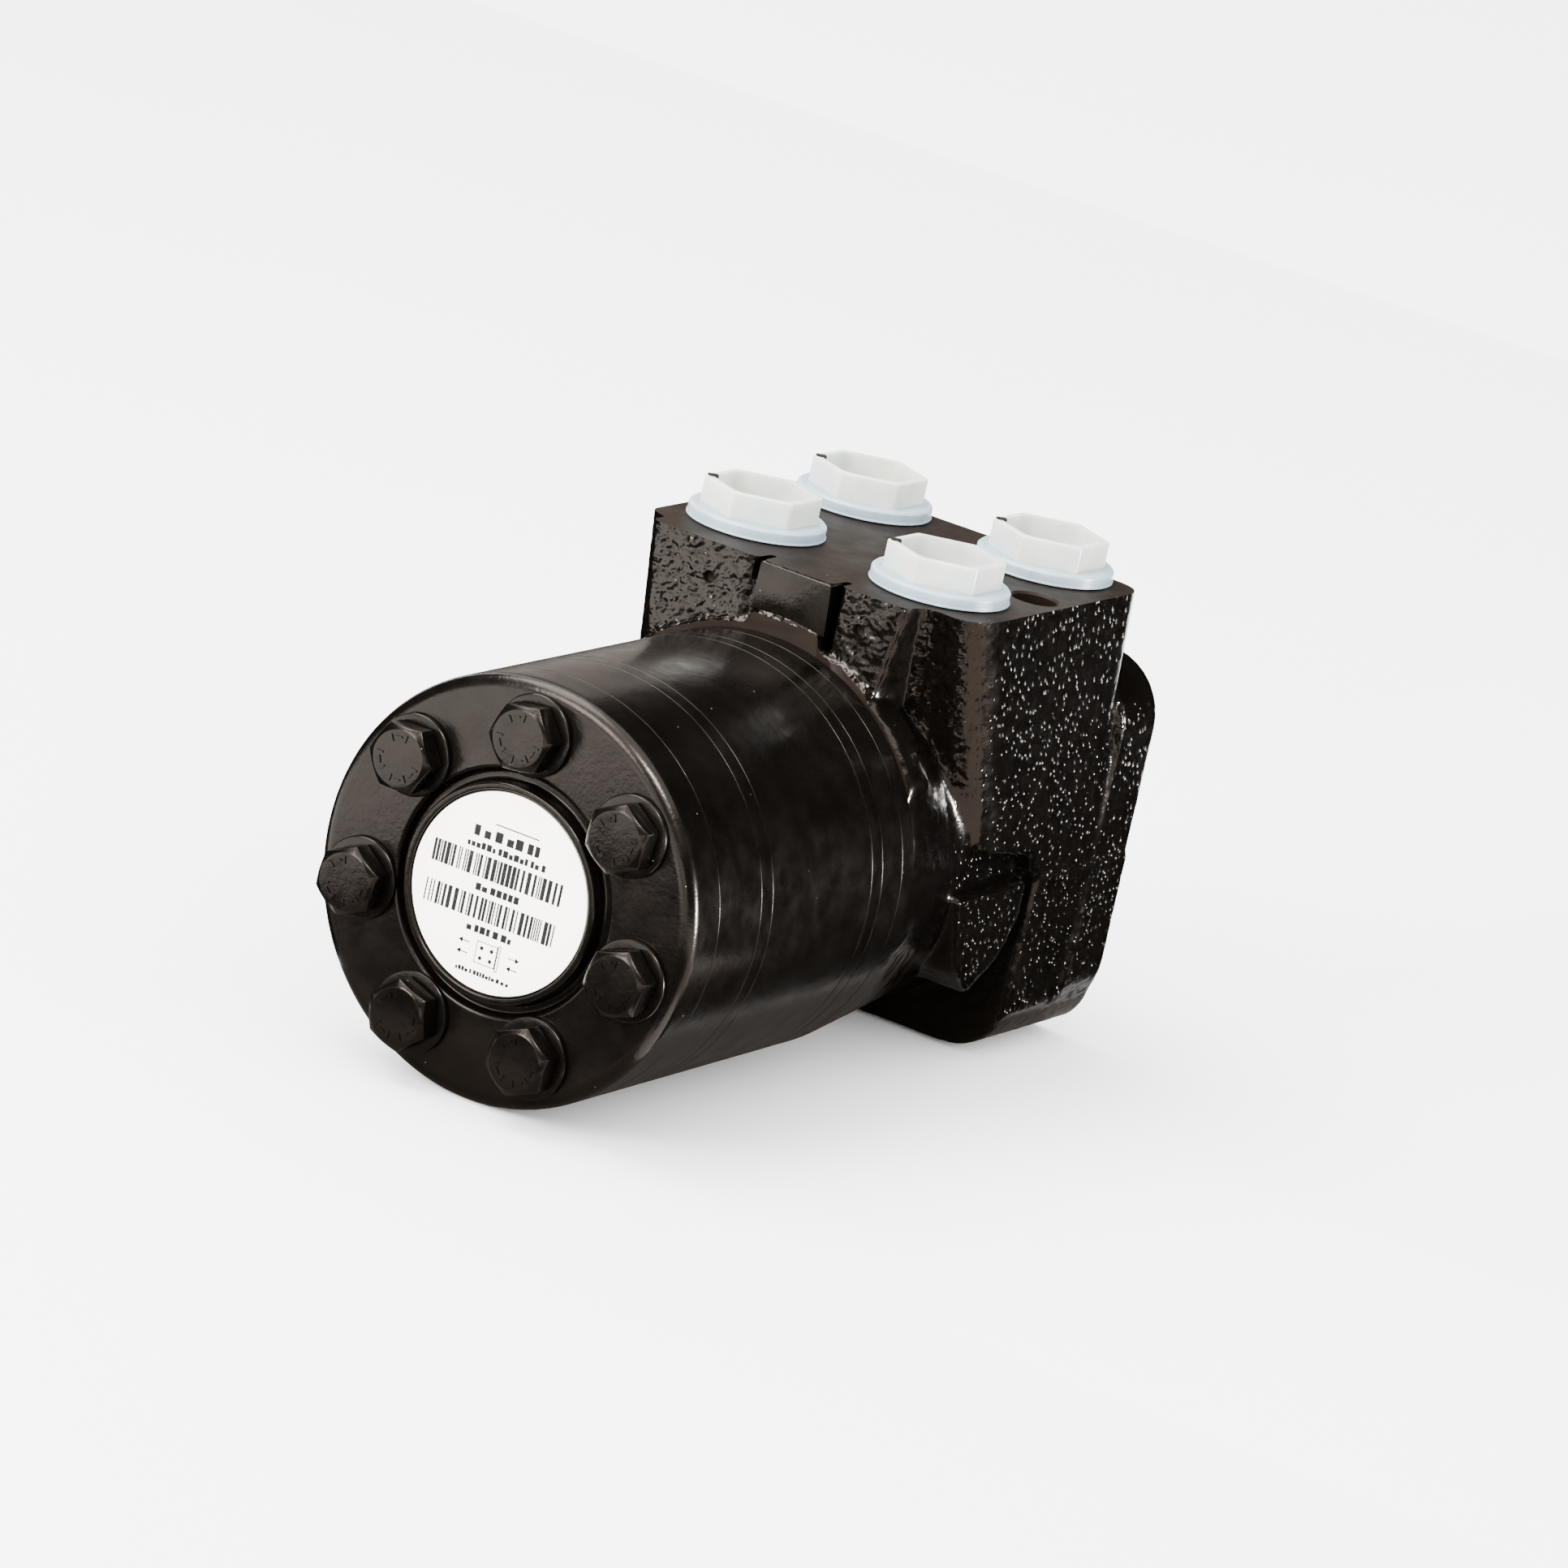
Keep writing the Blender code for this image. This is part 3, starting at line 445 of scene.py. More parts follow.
def milled_paint():
    """Paint over the milled port face: smooth, less glossy, with faint cutter arcs."""
    finish = Finish("milled_black_finish", BLACK, 0.4, 0.0, 1.16)
    finish.set("Specular Tint", SHEEN_TINT)
    speckled(finish, (0.0048, 0.0030, 0.0021), 4.0)
    finish.paint_roughness(finish.ramp(finish.noise(9, 3), 0.3, 0.7, 0.42, 0.56))
    marks = finish.nodes.new("ShaderNodeTexWave")
    marks.wave_type = "RINGS"
    marks.rings_direction = "Z"
    marks.inputs["Scale"].default_value = 260
    marks.inputs["Distortion"].default_value = 1.5
    finish.link(finish.stretched((1.0, 0.6, 1.0)), marks.inputs["Vector"])
    finish.bump(marks.outputs["Fac"], 0.004)
    finish.bump(finish.noise(2.2, 2), 0.03)
    return finish.mat


def steel(name, color, low, high, grain):
    """Ground steel with fine turning or grinding lines across the shaft."""
    finish = Finish(name, color, low, 1.0)
    lines = finish.noise(2.0, 2, finish.stretched(grain))
    finish.paint_roughness(finish.ramp(lines, 0.3, 0.7, low, high))
    stain = finish.noise(8, 3)
    dark = tuple(v * 0.72 for v in color)
    finish.paint_color(finish.blend(finish.ramp(stain, 0.45, 0.75), color, dark))
    finish.bump(lines, 0.004)
    return finish.mat


def plug_plastic(name, light, shade):
    """Natural polyethylene: cloudy and translucent."""
    finish = Finish(name, light, 0.32, 0.0, 1.45)
    finish.set("Subsurface Weight", 0.35)
    finish.set("Subsurface Radius", (1.0, 1.0, 1.0))
    finish.set("Subsurface Scale", 0.004)
    finish.set("Transmission Weight", 0.12)
    cloud = finish.ramp(finish.noise(5, 2), 0.35, 0.7)
    finish.paint_color(finish.blend(cloud, light, shade))
    finish.paint_roughness(finish.ramp(finish.noise(2, 3), 0.3, 0.7, 0.26, 0.4))
    finish.bump(finish.noise(2.5, 2), 0.05)
    return finish.mat


def label_paper():
    finish = Finish("label_finish", (0.9, 0.87, 0.76), 0.42)
    fibre = finish.noise(0.35, 4, finish.stretched((1.0, 1.0, 0.4)))
    aged = finish.ramp(finish.noise(11, 3), 0.35, 0.75)
    finish.paint_color(finish.blend(aged, (0.95, 0.92, 0.82), (0.93, 0.89, 0.77)))
    finish.paint_roughness(finish.ramp(fibre, 0.3, 0.7, 0.36, 0.5))
    finish.bump(fibre, 0.008)
    return finish.mat


def label_ink():
    finish = Finish("label_ink_finish", (0.004, 0.004, 0.004), 0.5, 0.0, 1.25)
    wear = finish.ramp(finish.noise(0.6, 3), 0.55, 0.8)
    finish.paint_color(finish.blend(wear, (0.004, 0.004, 0.004), (0.02, 0.018, 0.017)))
    finish.paint_roughness(finish.ramp(finish.noise(1.2, 2), 0.3, 0.7, 0.42, 0.6))
    return finish.mat


def rubber():
    finish = Finish("seal_rubber_finish", (0.02, 0.02, 0.021), 0.6)
    grain = finish.noise(0.4, 3)
    finish.paint_color(finish.blend(finish.ramp(finish.noise(4, 2), 0.4, 0.7), (0.018, 0.018, 0.019),
                                    (0.04, 0.038, 0.037)))
    finish.paint_roughness(finish.ramp(grain, 0.3, 0.7, 0.5, 0.72))
    finish.bump(grain, 0.02)
    return finish.mat


GLOSS = gloss_paint()
CAST = cast_paint()
MILLED = milled_paint()
GROUND = steel("ground_steel_finish", (0.52, 0.53, 0.55), 0.2, 0.36, (1.0, 6.0, 1.0))
HARD = steel("hardened_steel_finish", (0.21, 0.21, 0.22), 0.26, 0.42, (1.0, 3.0, 1.0))
# The cup and the flange are one plastic in two copies: the cup's lighter, warmer copy is painted light, and
# the flange's darker, bluer copy is painted shade where it sits against the black face.
LIT_CUP_PLASTIC = plug_plastic("plug_cup_lit_finish", (0.52, 0.52, 0.46), (0.42, 0.46, 0.45))
SHADED_FLANGE_PLASTIC = plug_plastic("plug_flange_shaded_finish", (0.28, 0.36, 0.40), (0.23, 0.31, 0.36))
PAPER = label_paper()
INK = label_ink()
RUBBER = rubber()


# ---------------------------------------------------------------- round plates

def screw_hole_tool(low, high):
    holes = [slab(f"hole_{k}", circle(SCREW_HOLE_R, 32, SCREW_CIRCLE_R * cos(a), -SCREW_CIRCLE_R * sin(a)),
                  low, high) for k, a in enumerate(SCREW_ANGLES)]
    return seat(gather("screw_hole_tool", holes), 0, 0, 0)


GROOVE = (39.1, 41.9, 1.5)     # O-ring groove: inner and outer radius, depth
EDGE = 0.14                    # rounding of the ground edges under the paint
SEAM = 0.22                    # the plates meet closer than their CAD solids by this much


def plate_blank(name, node, bore_r, front_groove, rear_groove):
    front, rear = span(node)
    height = rear + SEAM - front
    inner, outer, depth = GROOVE
    corners = [(BODY_R, height, EDGE), (BODY_R, 0, EDGE)]
    if front_groove:
        corners += [(outer, 0, 0), (outer, depth, 0), (inner, depth, 0), (inner, 0, 0)]
    corners += [(bore_r, 0, 0), (bore_r, height, 0)]
    if rear_groove:
        floor_at = height - depth
        corners += [(inner, height, 0), (inner, floor_at, 0), (outer, floor_at, 0), (outer, height, 0)]
    return seat(lathe(name, rounded(corners, 3)), 0, front, 0)


def drilled_plate(name, node, bore_r, front_groove=False, rear_groove=False):
    plate = plate_blank(name, node, bore_r, front_groove, rear_groove)
    front, rear = span(node)
    combine(plate, screw_hole_tool(front - 2, rear + 2), "DIFFERENCE")
    return stand_for(smooth(coat(plate, GLOSS)), [node], CASING)


LOBE_CIRCLE_R = 30.0
LOBE_R = 7.0
RIM_ROOT_R = 28.4


def rim_outline():
    """Inside of a gear rim: a round root with a round lobe inward at each screw."""
    reach = acos((LOBE_CIRCLE_R ** 2 + RIM_ROOT_R ** 2 - LOBE_R ** 2) / (2 * LOBE_CIRCLE_R * RIM_ROOT_R))
    swing = atan2(RIM_ROOT_R * sin(reach), LOBE_CIRCLE_R - RIM_ROOT_R * cos(reach))
    points = []
    for angle in SCREW_ANGLES:
        for step in range(17):
            turn = swing * (step / 8 - 1)
            x = LOBE_CIRCLE_R - LOBE_R * cos(turn)
            y = LOBE_R * sin(turn)
            points.append((x * cos(angle) - y * sin(angle), x * sin(angle) + y * cos(angle)))
        gap = 2 * pi / SCREW_COUNT - 2 * reach
        for step in range(1, 8):
            root = angle + reach + gap * step / 8
            points.append((RIM_ROOT_R * cos(root), RIM_ROOT_R * sin(root)))
    return [(x, -y) for x, y in points]


def gear_rim(name, node):
    front, rear = span(node)
    rim = plate_blank(name, node, 12, False, False)
    lobes = seat(slab("lobe_tool", rim_outline(), -2, rear - front + 2), 0, front, 0)
    combine(rim, lobes, "DIFFERENCE")
    combine(rim, screw_hole_tool(front - 2, rear + 2), "DIFFERENCE")
    return stand_for(smooth(coat(rim, GLOSS)), [node], CASING)


LIP_TOP = -1.75                # the boss's lip stands highest
LABEL_SEAT = -0.85


def end_cover():
    back = span("end_cover")[1] + SEAM
    inner, outer, depth = GROOVE
    corners = [(0, back, 0), (inner, back, 0), (inner, back - depth, 0), (outer, back - depth, 0),
               (outer, back, 0), (BODY_R, back, EDGE), (BODY_R, 0, 2.9), (25.2, 0, 0.9), (24.6, 1.9, 0.6),
               (22.8, 1.9, 0.6), (22.5, LIP_TOP, 0.45), (21.2, LIP_TOP, 0.35), (20.95, LABEL_SEAT, 0.1),
               (0, LABEL_SEAT, 0)]
    cover = seat(lathe("end_cover_turned", rounded(corners, 8), 256), 0, 0, 0)
    combine(cover, screw_hole_tool(-3, back + 2), "DIFFERENCE")
    return stand_for(smooth(coat(cover, GLOSS)), ["end_cover"], CASING)


# ---------------------------------------------------------------- cover screws

HEAD_H = 5.2
HEAD_FLATS = 6.5               # half the width across flats
HEAD_TOP_R = 5.85
SHANK_R = 4.0
FACING_R = 5.9                 # round core inside the head
HEAD_TURNS = (8, 1, 24, 40, 22, 17, 25)


def hexagon(corner_r, rounding, steps):
    """Outline of a hexagon given by the distance of its corners from the middle."""
    corners = [(corner_r * cos(k * pi / 3), corner_r * sin(k * pi / 3), rounding) for k in range(6)]
    return rounded(corners, steps)


def raised_ticks():
    """Generic strength marks: short raised bars in groups round the head."""
    bars = []
    for start, count in ((15, 5), (140, 3), (240, 3)):
        for k in range(count):
            turn = radians(start + 22 * k)
            bar = slab(f"tick_{start}_{k}", rounded([(-0.8, -0.2, 0.15), (0.8, -0.2, 0.15),
                       (0.8, 0.2, 0.15), (-0.8, 0.2, 0.15)], 2), -0.26, 0.4)
            spin = Matrix.Rotation(turn, 4, "Z") @ Matrix.Translation((4.35 * MM, 0, 0))
            bar.data.transform(spin @ Matrix.Rotation((k % 2) * pi / 2, 4, "Z"))
            bars.append(bar)
    return gather("ticks", bars)


def screw_mesh():
    """Hexagon screw about own Z: head from 0 to HEAD_H with its top at 0, shank below it."""
    head = slab("head", hexagon(HEAD_FLATS / cos(pi / 6), 0.35, 2), 0, HEAD_H - 0.35)
    crown = lathe("crown", rounded([(0, HEAD_H, 0), (8.2, HEAD_H, 0), (8.2, 1.45, 0), (HEAD_TOP_R, 0, 0.25),
                                    (0, 0, 0)], 4), 96)
    combine(head, crown, "INTERSECT")
    bevel(head, 0.1, 2, 40)
    reach = span("cover_screw_1")[1] - Y_HEADS
    stem = [(0, reach, 0), (SHANK_R, reach, 0.6), (SHANK_R, HEAD_H - 0.2, 0), (FACING_R, HEAD_H - 0.2, 0),
            (FACING_R, 1.5, 0), (0, 1.5, 0)]
    shank = lathe("shank", rounded(stem, 2), 48)
    combine(head, shank, "UNION")
    combine(head, raised_ticks(), "UNION")
    return coat(smooth(head), GLOSS)


def cover_screws():
    pattern = screw_mesh()
    for k, angle in enumerate(SCREW_ANGLES):
        screw = show(f"hex_screw_{k + 1}", pattern.data.copy())
        x, z = SCREW_CIRCLE_R * cos(angle), SCREW_CIRCLE_R * sin(angle)
        seat(screw, x, Y_HEADS, z, ALONG_Y, -radians(HEAD_TURNS[k]))
        stand_for(screw, [f"cover_screw_{k + 1}"], CASING)
    bpy.data.objects.remove(pattern, do_unlink=True)


WASHER_R = 8.5


def washers():
    front, rear = span("cover_washer_1")
    height = rear - front
    profile = rounded([(WASHER_R, height, 0.1), (WASHER_R, 0, 0.3), (SCREW_HOLE_R, 0, 0.1),
                       (SCREW_HOLE_R, height, 0.1)], 3)
    for k, angle in enumerate(SCREW_ANGLES):
        ring = lathe(f"plain_washer_{k + 1}", profile, 64)
        seat(ring, SCREW_CIRCLE_R * cos(angle), front, SCREW_CIRCLE_R * sin(angle))
        stand_for(smooth(coat(ring, GLOSS)), [f"cover_washer_{k + 1}"], CASING)


# ---------------------------------------------------------------- label

LABEL_R = 20.6
PRINT_T = 0.03


def label():
    front, rear = span("name_plate")
    disc = lathe("label_disc", rounded([(0, rear - front, 0), (LABEL_R, rear - front, 0), (LABEL_R, 0, 0.08),
                                        (0, 0, 0)], 3), 192)
    seat(disc, 0, front, 0)
    stand_for(smooth(coat(disc, PAPER)), ["name_plate"], CASING)
    ink = seat(gather("label_print", label_marks()), 0, front - PRINT_T, 0)
    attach(coat(ink, INK), CASING)


def mark(left, low, right, high):
    """A thin printed rectangle, its own y up the label."""
    outline = [(left, -high), (right, -high), (right, -low), (left, -low)]
    return slab("mark", outline, 0, PRINT_T * 1.5)


def stripes(rng, left, right, low, high):
    """A strip of bars of irregular width that encodes nothing."""
    bars = []
    at = left
    while at < right - 1.0:
        width = rng.choice((0.3, 0.3, 0.6, 0.6, 0.9))
        bars.append(mark(at, low, at + width, high))
        at += width + rng.choice((0.22, 0.22, 0.45, 0.66))
    return bars


def dashes(rng, left, right, low, high):
    """A row of uneven dashes in place of a line of print."""
    size = high - low
    row = []
    at = left
    while at < right - size * 0.5:
        width = rng.uniform(0.45, 0.85) * size
        row.append(mark(at, low, at + width, low + size * rng.choice((0.72, 1.0, 1.0))))
        at += width + rng.choice((0.2, 0.2, 0.5)) * size
    return row


def arrow(x, y, length, way):
    tip = x + way * length / 2
    tail = x - way * length / 2
    head = [(tip, -y), (tip - way * 0.9, -y - 0.6), (tip - way * 0.9, -y + 0.6)]
    bar = mark(min(tail, tip), y - 0.1, max(tail, tip), y + 0.1)
    return [bar, slab("arrow", head if way < 0 else head[::-1], 0, PRINT_T * 1.5)]


def frame_marks(left, low, right, high, line):
    """Four thin bars round a rectangle."""
    return [mark(left, low, right, low + line), mark(left, high - line, right, high),
            mark(left, low + line, left + line, high - line),
            mark(right - line, low + line, right, high - line)]


def label_marks():
    rng = random.Random(7)
    marks = stripes(rng, -16.9, 15.0, 1.9, 6.5)
    marks += stripes(rng, -16.9, 15.0, -6.6, -1.9)
    marks += [mark(-4.0, 13.3, 6.5, 13.55)]
    marks += dashes(rng, -8.5, 8.5, 9.9, 12.1)
    marks += dashes(rng, -9.5, 9.5, 7.5, 8.9)
    marks += dashes(rng, -5.6, 5.6, -0.8, 0.7)
    marks += dashes(rng, -5.8, 5.8, -9.2, -7.7)
    marks += frame_marks(-2.6, -15.2, 2.4, -10.6, 0.16)
    marks += frame_marks(2.4, -15.6, 3.1, -10.2, 0.16)
    for x in (-1.3, 1.1):
        for y in (-11.9, -14.0):
            marks.append(slab("dot", circle(0.42, 16, x, -y), 0, PRINT_T * 1.5))
    for x, y, way in ((-5.6, -11.6, -1), (-5.6, -13.9, -1), (6.4, -11.9, 1), (6.4, -14.0, -1)):
        marks += arrow(x, y, 2.6, way)
    marks += dashes(rng, -6.4, 6.4, -17.7, -16.8)
    return marks


# ---------------------------------------------------------------- housing casting

VOXEL = 0.72 if FINE else 1.5
TOP_STOCK = 3.0                # casting above the milled face, cut off with it
WALL_TOP = 42.0                # right wall at the port face
WALL_LEFT = 39.5
WALL_MID = 44.7                # both walls at the shaft's height
FLANGE_HALF = 44.9
FLANGE_TOP = 41.2
FLANGE_BOTTOM = -43.3
PARTING_Z = -0.8
BOSS_FRONT = 88.8
BARREL_START = 86.5            # the barrel's front, cut back to the housing's front face later
CORNER_RIGHT = 8.0             # roundings of the block's upright corners and of its underside
CORNER_LEFT = 4.0
CORNER_REAR = 6.5
CORNER_UNDER = 1.6
HOLLOW_PASSES = 34             # smoothing passes of the hollow beside the right boss


def world_slab(name, outline, low, high, plane):
    """A slab whose outline lies in the named plane: its points and heights are unit coordinates."""
    obj = slab(name, outline, low, high)
    turns = {"YZ": Matrix(((0, 0, 1, 0), (1, 0, 0, 0), (0, 1, 0, 0), (0, 0, 0, 1))),
             "XZ": Matrix(((1, 0, 0, 0), (0, 0, 1, 0), (0, 1, 0, 0), (0, 0, 0, 1))),
             "XY": Matrix.Identity(4)}
    obj.data.transform(Matrix.Translation(place(0, 0, 0)) @ turns[plane])
    face_outward(obj.data)
    return obj


def local(v):
    """Millimetres from the shaft axis and the cover's face."""
    return (v.x - AXIS_X) / MM, (v.y - FACE_Y) / MM, (v.z - AXIS_Z) / MM


def wall(side, z):
    """Half width of the drafted block at a height."""
    top = WALL_TOP if side > 0 else WALL_LEFT
    return top + (WALL_MID - top) * (PORT_FACE_H - z) / PORT_FACE_H


def cast_block():
    """Port block: a leaning front, drafted sides and an undercut in front of the flange."""
    top = PORT_FACE_H + TOP_STOCK
    outline = [(93.6, top), (167.0, top), (167.0, PARTING_Z), (140.5, PARTING_Z), (138.0, 3.4), (112.0, 7.4)]
    block = world_slab("block", outline, -1.0, 1.0, "YZ")
    for vert in block.data.vertices:
        x, _, z = local(vert.co)
        side = 1 if x > 0 else -1
        vert.co.x = AXIS_X + side * wall(side, z) * MM
    shape = bmesh.new()
    shape.from_mesh(block.data)
    shape.edges.ensure_lookup_table()
    groups = {CORNER_RIGHT: [], CORNER_LEFT: [], CORNER_REAR: [], CORNER_UNDER: []}
    for edge in shape.edges:
        (xa, ya, za), (xb, yb, zb) = (local(v.co) for v in edge.verts)
        if abs(xa - xb) > 20:
            continue
        if ya < 115 and yb < 115:
            groups[CORNER_RIGHT if xa > 0 else CORNER_LEFT].append(edge)
        elif min(ya, yb) > 160:
            groups[CORNER_REAR].append(edge)
        elif max(za, zb) < 9:
            groups[CORNER_UNDER].append(edge)
    for width, edges in groups.items():
        edges = [e for e in edges if e.is_valid]
        bmesh.ops.bevel(shape, geom=edges, offset=width * MM, segments=7, profile=0.5, affect="EDGES",
                        clamp_overlap=True)
    shape.to_mesh(block.data)
    shape.free()
    return block


def cast_boss(side):
    """Rough front boss beside the pad, hollowed round the neck."""
    inner, outer = (12.2, 28.8) if side > 0 else (8.2, 35.0)
    top = PORT_FACE_H + TOP_STOCK
    corners = [(inner, top), (outer, top), (outer - 2.5, 44), (outer - 5, 27), (outer - 9, 14), (inner, 14)]
    boss = world_slab(f"boss_{side}", [(side * x, z) for x, z in corners], BOSS_FRONT, 108.0, "XZ")
    bevel(boss, 1.3, 4, 40)
    relief = seat(lathe("relief", [(46.4, 20), (46.4, 0), (0, 0), (0, 20)], 96), 0, 74.5, 0)
    combine(boss, relief, "DIFFERENCE")
    return boss


def cone_between(tail, tail_r, head, head_r):
    """A tapered cylinder between two points."""
    start, end = place(*tail), place(*head)
    length = (end - start).length / MM
    cone = lathe("cone", [(0, length), (head_r, length), (tail_r, 0), (0, 0)], 48)
    turn = (end - start).to_track_quat("Z", "Y").to_matrix().to_4x4()
    cone.data.transform(Matrix.Translation(start) @ turn)
    return cone


def cast_valley(block):
    """Hollow between the right boss and the block's leaning corner, deeper towards the neck."""
    return combine(block, cone_between((33.0, 104.5, 12), 6.5, (32.5, 91.0, 64), 3.2), "DIFFERENCE")


def cast_lug(side):
    """Crescent lug on the flank: flat top, straight front edge and a round lower edge, with draft."""
    outline = rounded([(108.2, -1.8, 0.8), (137.6, -1.4, 0.8), (139.0, -10.0, 6.0), (133.5, -19.0, 8.0),
                       (123.5, -26.0, 3.0), (115.4, -19.5, 6.0)], 5)
    lug = world_slab(f"lug_{side}", outline, 20, 44.7, "YZ")
    for vert in lug.data.vertices:
        x, _, z = local(vert.co)
        if x > 40:
            vert.co.x -= max(0.0, -z - 4) * 0.045 * MM
        vert.co.x = AXIS_X + side * (vert.co.x - AXIS_X)
    face_outward(lug.data)
    return bevel(lug, 0.7, 2, 50)


def cast_barrel(rear):
    """Round neck, which narrows towards the block."""
    length = rear - BARREL_START
    profile = rounded([(0, length, 0), (40, length, 0), (40, 40, 20), (42.4, 17, 10), (43.6, 5, 3),
                       (43.8, 0, 0), (0, 0, 0)], 6)
    return seat(lathe("barrel", profile), 0, BARREL_START, 0)


def cast_collar():
    """Raised ring round the top of the neck."""
    ring = lathe("collar", rounded([(0, 10, 0), (45.4, 10, 0), (45.4, 0, 0.9), (0, 0, 0)], 4), 128)
    above = world_slab("above", [(-60, 22), (60, 22), (60, 60), (-60, 60)], 80, 110, "XZ")
    return combine(seat(ring, 0, 87.6, 0), above, "INTERSECT")


def cast_fillet():
    """Hollow curve from the neck up to the strip behind the pad."""
    sweep = lathe("fillet", [(0, 9), (51, 9), (48.6, 1.2), (46.8, 0.3), (45.2, 0), (0, 0)], 128)
    under_pad = world_slab("under_pad", [(-7.0, 36), (10.8, 36), (10.4, 56), (-6.4, 56)], 80, 110, "XZ")
    return combine(seat(sweep, 0, 87.2, 0), under_pad, "INTERSECT")


def cast_strip():
    """Strip behind the smooth pad, between the two front bosses."""
    top = PORT_FACE_H + TOP_STOCK
    return world_slab("strip", [(-6.4, top), (10.4, top), (10.8, 36), (-7.0, 36)], 88.3, 104, "XZ")


def cast_flange(rear):
    """Column flange: rounded ears, the block's root above the parting line and the foot below it."""
    low = FLANGE_BOTTOM + 4
    ears = rounded([(FLANGE_HALF, FLANGE_TOP, 14), (-FLANGE_HALF, FLANGE_TOP, 14),
                    (-FLANGE_HALF, low, 14), (FLANGE_HALF, low, 14)], 10)
    root = [(wall(1, 26), 26, 5), (-wall(-1, 26), 26, 5), (-wall(-1, -4), -4, 1), (wall(1, -4), -4, 1)]
    lower = [(FLANGE_HALF - 0.5, PARTING_Z, 0.5), (-FLANGE_HALF + 0.5, PARTING_Z, 0.5),
             (-FLANGE_HALF + 1.8, FLANGE_BOTTOM, 13), (FLANGE_HALF - 1.8, FLANGE_BOTTOM, 13)]
    foot = world_slab("lower_foot", rounded(lower, 10), 142.5, rear, "XZ")
    return [world_slab("ears", ears, 165.6, rear, "XZ"),
            world_slab("upper_foot", rounded(root, 6), 144, rear, "XZ"), bevel(foot, 3.5, 4, 50)]


def cast_shells():
    """Overlapping solids of the casting, which the skin then wraps."""
    rear = Y_REAR + 1.0
    shells = [cast_valley(cast_block()), cast_boss(1), cast_boss(-1), cast_lug(1), cast_lug(-1)]
    shells += [cast_barrel(rear), cast_collar(), cast_fillet(), cast_strip()]
    return shells + cast_flange(rear)


def step_up(value, low, high):
    """Smooth step from 0 at low to 1 at high."""
    share = min(1.0, max(0.0, (value - low) / (high - low)))
    return share * share * (3 - 2 * share)


def in_hollow(v):
    """Whether a point is near the hollow beside the right boss."""
    x, y, z = local(v)
    return 15 < x < 47 and y < 124 and 7 < z < 62


def near_front(y):
    """1 on the front bosses' faces, 0 further back."""
    return 1 - step_up(y, 90.5, 96)


def skin_height(x, y, z, normal):
    """Relief of the casting's skin in millimetres, with the step at the parting line."""
    at = Vector((x, y, z))
    lumps = noise.noise(at / 2.0) + 0.45 * noise.noise(at / 1.0)
    swell = noise.noise(at / 7.5)
    front = step_up(-normal.y, 0.25, 0.8) * step_up(z, 14, 24)
    near = near_front(y)
    below_parting = 1 - step_up(z, PARTING_Z - 0.7, PARTING_Z)
    height = 0.08 * lumps + 0.06 * swell
    height += 0.45 * step_up(abs(normal.x), 0.6, 0.8) * below_parting * step_up(y, 140, 150)
    height += front * near * 0.16 * lumps
    height += front * (1 - near) * 0.08 * lumps
    return height


def roughen(obj):
    """Sand-cast skin: soft hollow beside the right boss, fine lumps, a smooth strip at the pad."""
    shape = bmesh.new()
    shape.from_mesh(obj.data)
    hollow = [vert for vert in shape.verts if in_hollow(vert.co)]
    for _ in range(HOLLOW_PASSES):
        bmesh.ops.smooth_vert(shape, verts=hollow, factor=0.5, use_axis_x=True, use_axis_y=True,
                              use_axis_z=True)
    shape.normal_update()
    for vert in shape.verts:
        x, y, z = local(vert.co)
        at_pad = (1 - step_up(abs(x - 1.4), 11.0, 12.4)) * (1 - step_up(z, 56.5, 57.5)) * near_front(y)
        vert.co += vert.normal * skin_height(x, y, z, vert.normal) * (1 - at_pad) * MM
    shape.to_mesh(obj.data)
    shape.free()


CUT = 70                       # reach of the cutters past the casting
BORE_R = 19.3                  # bore of the sleeve, then steps for the bearing, the spool and the seal
RACE_R = 17.9
SPOOL_BORE_R = 13.4
SEAL_R = 17.0
FACE_HOLE_R = 4.85
COLUMN_HOLE_R = 4.25


def face_cutters():
    """Slabs that mill the port face, the front and the rear."""
    mill = [(-CUT, 60), (CUT, 60), (CUT, Y_REAR + 20), (-CUT, Y_REAR + 20)]
    front = [(-CUT, -CUT), (CUT, -CUT), (CUT, 47.5), (-CUT, 47.5)]
    rear = [(-CUT, -CUT), (CUT, -CUT), (CUT, 50), (-CUT, 50)]
    planes = [world_slab("mill", mill, PORT_FACE_H, 90, "XY"),
              world_slab("front", front, 60, Y_HOUSING + 0.15, "XZ"),
              world_slab("rear", rear, Y_REAR, Y_REAR + 15, "XZ")]
    return coat(gather("planes", planes), MILLED)


def bore_cutter():
    """Stepped bore from the front face to the dust seal."""
    step = Y_REAR - 14.1
    profile = [(0, Y_REAR + 2), (SEAL_R, Y_REAR + 2), (SEAL_R, Y_REAR - 6), (SPOOL_BORE_R, Y_REAR - 6),
               (SPOOL_BORE_R, step + 5), (RACE_R, step + 5), (RACE_R, step), (BORE_R, step),
               (BORE_R, Y_HOUSING - 2), (0, Y_HOUSING - 2)]
    return seat(lathe("bore", profile, 96), 0, 0, 0)


